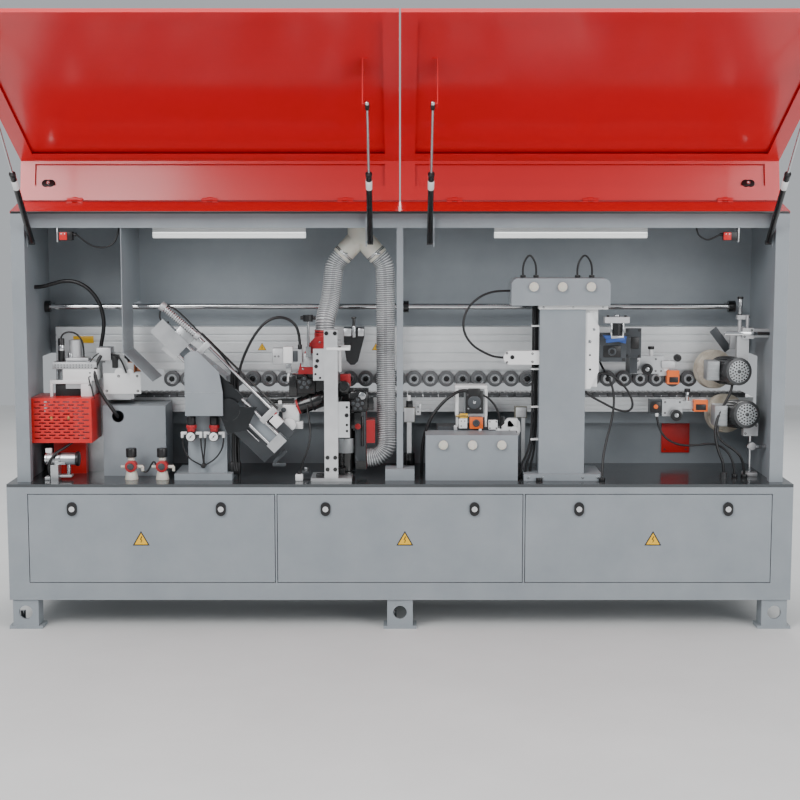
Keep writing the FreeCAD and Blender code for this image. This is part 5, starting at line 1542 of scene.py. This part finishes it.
def makeScrapers(look):
    y = look["front"]
    parts = ringKnob(989, 1004, y) + ringKnob(1110, 818, y)
    parts += [
        drum("z", (1012, y + 25, 1064), 8, 34, 2, "whitePlastic", 24),  # white screw with its black knob
        drum("z", (1012, y + 25, 1086), 13, 12, 2, "blackPlastic", 28),
        drum("y", (1113, y - 8, 1048), 15, 26, 3, "blackPlastic", 32, ((4, 0), (0.6, 3))),  # black knob
        block((1050, y - 12, 1006), (1104, y + 20, 1036), 3, "castAlloy"),  # blade holder
        slantedBlock((1058, 1000), (1092, 1030), 26, y - 4, y + 18, 3, "whitePlastic"),
        block((1080, y - 22, 949), (1116, y - 19, 972), 2, "blackPlastic"),  # dark windows of the orange blades
        block((1189, y - 22, 838), (1230, y - 19, 862), 2, "blackPlastic"),
        block((944, y - 5, 990), (962, y + 0.5, 1046), 2, "castAlloy"),
        block((1010, y - 4, 826), (1054, y + 5, 870), 4, "blackPlastic"),  # switch with its orange button
        drum("y", (1031, y - 4, 850), 9, 8, 1.5, "orangePlastic", 28),
        drum("z", (1037, y + 6, 816), 7, 14, 1.5, "whitePlastic", 20),
        block((1140, y + 4, 838), (1180, y + 30, 872), 3, "alloy"),
        drum("z", (1160, y + 16, 890), 7, 40, 2, "chrome", 24),  # chrome screw with its black knob
        drum("z", (1160, y + 16, 914), 12, 14, 2, "blackPlastic", 28),
    ]
    parts += screws("y", ((1028, y, 994), (1050, y, 994), (1028, y, 1042), (955, y - 5, 1000),
                          (955, y - 5, 1036)), 4, "blackPlastic", 3)
    parts += screws("y", ((1069, y, 824), (1128, y, 868), (1069, y, 868)), 4, "blackPlastic", 3)
    finishPiece("scraperDetails", parts, "frame")
    lead("switchCable", ((1037, -114, 812), (1040, -118, 790), (1052, -130, 748), (1078, -148, 716),
                         (1130, -166, 697), (1190, -182, 702), (1250, -196, 712), (1300, -206, 690),
                         (1330, -214, 640), (1334, -218, 592)), 9)


makeScrapers(scraperLook)
print("corner unit and scrapers detailed")


# buffing motors: fan covers, terminal boxes, posts and cloth wheels
buffLook = {
    "motors": (((1339, -225, 1002), (1285, 5, 990)), ((1375, -225, 831), (1335, 5, 808))),
    "radius": 54, "wheel": 80, "layers": 9, "wheelWidth": 40,
}


def makeBuffMotor(tail, centre, boxLow, boxHigh, radius):
    start, end = Vector(tail), Vector(centre)
    way = (end - start).normalized()
    parts = [
        drum(way, start - way * 1, radius + 1.2, 6, 2, "motorDark", 48),
        drum(way, start + way * 32, radius + 1.4, 4, 1, "motorDark", 48),
        drum(way, start + way * 150, radius + 2, 8, 2, "motorDark", 48),
        drum(way, start - way * 4.4, 43, 1.6, 0.5, "motorGrey", 48),
        drum(way, start - way * 5.6, 8, 2, 0.6, "motorDark", 24),
    ]
    sideways = Vector((1, 0, 0)).cross(way).normalized()
    across = way.cross(sideways)
    # three rings of black discs on the fan cover: painted shade of its air holes
    for ring, count in ((16, 8), (27, 14), (38, 20)):
        for spoke in range(count):
            angle = math.tau * spoke / count
            place = start - way * 5.3 + (sideways * math.cos(angle) + across * math.sin(angle)) * ring
            parts.append(drum(way, place, 4.0, 1.2, 0.3, "blackPaint", 8))
    for fin in range(22):
        angle = math.tau * fin / 22
        place = start + way * 92 + (sideways * math.cos(angle) + across * math.sin(angle)) * (radius + 1.6)
        parts.append(drum(way, place, 1.9, 108, 0.6, "motorDark", 10))
    low, high = Vector(boxLow), Vector(boxHigh)
    parts.append(block(low, high, 4, "motorGrey"))
    parts.append(block((low.x + 4, low.y - 3, low.z + 4), (high.x - 4, low.y + 1, high.z - 4), 2,
                       "motorGrey"))
    for rib in range(4):
        z = low.z + (high.z - low.z) * (0.2 + 0.2 * rib)
        parts.append(block((low.x + 8, low.y - 5, z - 2), (high.x - 8, low.y - 2, z + 2), 0.8, "motorGrey"))
    return parts


def makeWheel(name, tail, centre, look):
    start, end = Vector(tail), Vector(centre)
    way = (end - start).normalized()
    step = look["wheelWidth"] / look["layers"]
    generator = random.Random(len(name))
    layers = []
    for index in range(look["layers"]):
        place = end + way * (step * (index + 0.5) - look["wheelWidth"] / 2)
        radius = look["wheel"] - generator.uniform(0, 2.2)
        layers.append(drum(way, place, radius, step * 0.96, 1.3, "buffCloth", 72))
    for sign in (-1, 1):
        layers.append(drum(way, end + way * (sign * look["wheelWidth"] / 2), 24, 4, 1, "groundSteel", 36))
    layers.append(drum(way, end - way * 24, 11, 6, 1.5, "groundSteel", 6))
    finishPiece(name + "Cloth", layers, name, (name,))


def makeBuffing(look):
    upper, lower = look["motors"]
    parts = makeBuffMotor(upper[0], upper[1], (1222, -190, 962), (1272, -108, 1040), look["radius"])
    parts += makeBuffMotor(lower[0], lower[1], (1256, -190, 778), (1308, -108, 862), look["radius"])
    parts += [
        block((1284, -206, 1144), (1415, -198, 1158), 3, "chrome"),  # lever with its grip
        drum("x", (1440, -202, 1151), 6, 50, 2, "blackPlastic", 24),
        drum("z", (1353, -160, 1290), 12, 10, 2.5, "blackPlastic", 28),  # spindle head
        drum("z", (1353, -160, 1255), 9.2, 60, 1, "groundSteel", 24),
        # wedge plate behind the upper wheel
        slantedBlock((1266, 1158), (1330, 1074), 34, -66, -56, 3, "darkPlate"),
        block((1330, -100, 1080), (1392, -70, 1150), 3, "castAlloy"),  # cast bracket
        block((1384, -205, 692), (1474, -185, 706), 3, "groundSteel"),  # lower lever, its hub and grip
        drum("y", (1404, -196, 700), 16, 22, 2, "castAlloy", 32),
        drum("x", (1482, -195, 699), 7, 30, 2.5, "blackPlastic", 24),
        block((1378, -200, 577), (1430, -140, 592), 2, "castAlloy"),  # foot of the lower post
        drum("z", (1372, -220, 584), 13, 14, 2, "blackPlastic", 24),  # cable glands
        drum("z", (1334, -218, 584), 12, 14, 2, "blackPlastic", 24),
    ]
    parts += screws("y", ((1364, -202, 1138), (1392, -202, 1164), (1380, -190, 750), (1422, -190, 782)),
                    4.5, "blackPlastic", 3)
    finishPiece("buffDetails", parts, "frame")
    makeWheel("upper_buff_wheel", *upper, look)
    makeWheel("lower_buff_wheel", *lower, look)
    lead("lowerBuffCable", ((1270, -195, 780), (1262, -206, 752), (1284, -220, 716), (1330, -228, 690),
                            (1366, -228, 650), (1372, -222, 592)), 10)


makeBuffing(buffLook)


# red flap on the rear wall
endLook = {"flap": ((1101, 140, 623), (1219, 148, 752))}


def makeEnds(look):
    low, high = look["flap"]
    hinge = ((low[0] + high[0]) / 2, high[1] - 4, high[2] - 2)
    flap = [block(low, high, 3, "brightRed"), drum("x", hinge, 5, 100, 1, "chrome", 20)]
    flap += screws("y", ((low[0] + 14, low[1], low[2] + 14), (high[0] - 14, low[1], low[2] + 14)), 4,
                   "blackPlastic", 2)
    finishPiece("dustFlap", flap, "frame")


makeEnds(endLook)
print("buffing made")


# floor and light
floorSetup = {"height": 0.0, "half": (9.0, 7.0)}


def makeFloor(setup):
    # pale workshop floor, plain and matt
    bpy.ops.mesh.primitive_plane_add(size=2, location=(0, 0, setup["height"]))
    floor = bpy.context.object
    floor.name = "studioFloor"
    floor.scale = (setup["half"][0], setup["half"][1], 1)
    settle(floor)
    pickFaces(floor, lambda face: True)
    bpy.ops.mesh.subdivide(number_cuts=6)
    done()
    material = bpy.data.materials.new("floorPale")
    material.use_nodes = True
    tree = material.node_tree
    shader = tree.nodes["Principled BSDF"]
    dust = useGroup(tree, dustGroup, Amount=0.0, Scale=1.5)
    uneven = rampBetween(tree, dust.outputs["Unevenness"], 0.3, 0.7)
    colour = mixColour(tree, uneven, (0.66, 0.66, 0.65, 1), (0.72, 0.72, 0.71, 1))
    tree.links.new(colour, shader.inputs["Base Color"])
    shader.inputs["Roughness"].default_value = 0.62
    floor.data.materials.append(material)


makeFloor(floorSetup)


lights = {
    "keyLight": {"place": (-3.2, -5.2, 4.6), "aim": (0.1, 0, 0.9), "size": 3.4, "power": 330},
    "fillLight": {"place": (4.2, -4.6, 2.9), "aim": (0.2, 0, 0.9), "size": 3.8, "power": 190},
    "topLight": {"place": (0, -0.6, 4.9), "aim": (0, -0.1, 0.8), "size": 4.2, "power": 160},
    "backLight": {"place": (0.6, 4.8, 3.4), "aim": (0, 0, 1.1), "size": 3.6, "power": 170},
}


def makeLights(setups):
    for name, setup in setups.items():
        data = bpy.data.lights.new(name, "AREA")
        data.shape = "SQUARE"
        data.size = setup["size"]
        data.energy = setup["power"]
        lamp = bpy.data.objects.new(name, data)
        bpy.context.scene.collection.objects.link(lamp)
        lamp.location = setup["place"]
        aim = Vector(setup["aim"]) - Vector(setup["place"])
        lamp.rotation_euler = aim.to_track_quat("-Z", "Y").to_euler()


makeLights(lights)


def makeSky():
    world = bpy.data.worlds.new("studioSky")
    bpy.context.scene.world = world
    world.use_nodes = True
    back = world.node_tree.nodes["Background"]
    back.inputs["Color"].default_value = (0.82, 0.86, 0.90, 1)
    back.inputs["Strength"].default_value = 0.55


makeSky()
print("floor and lights made")
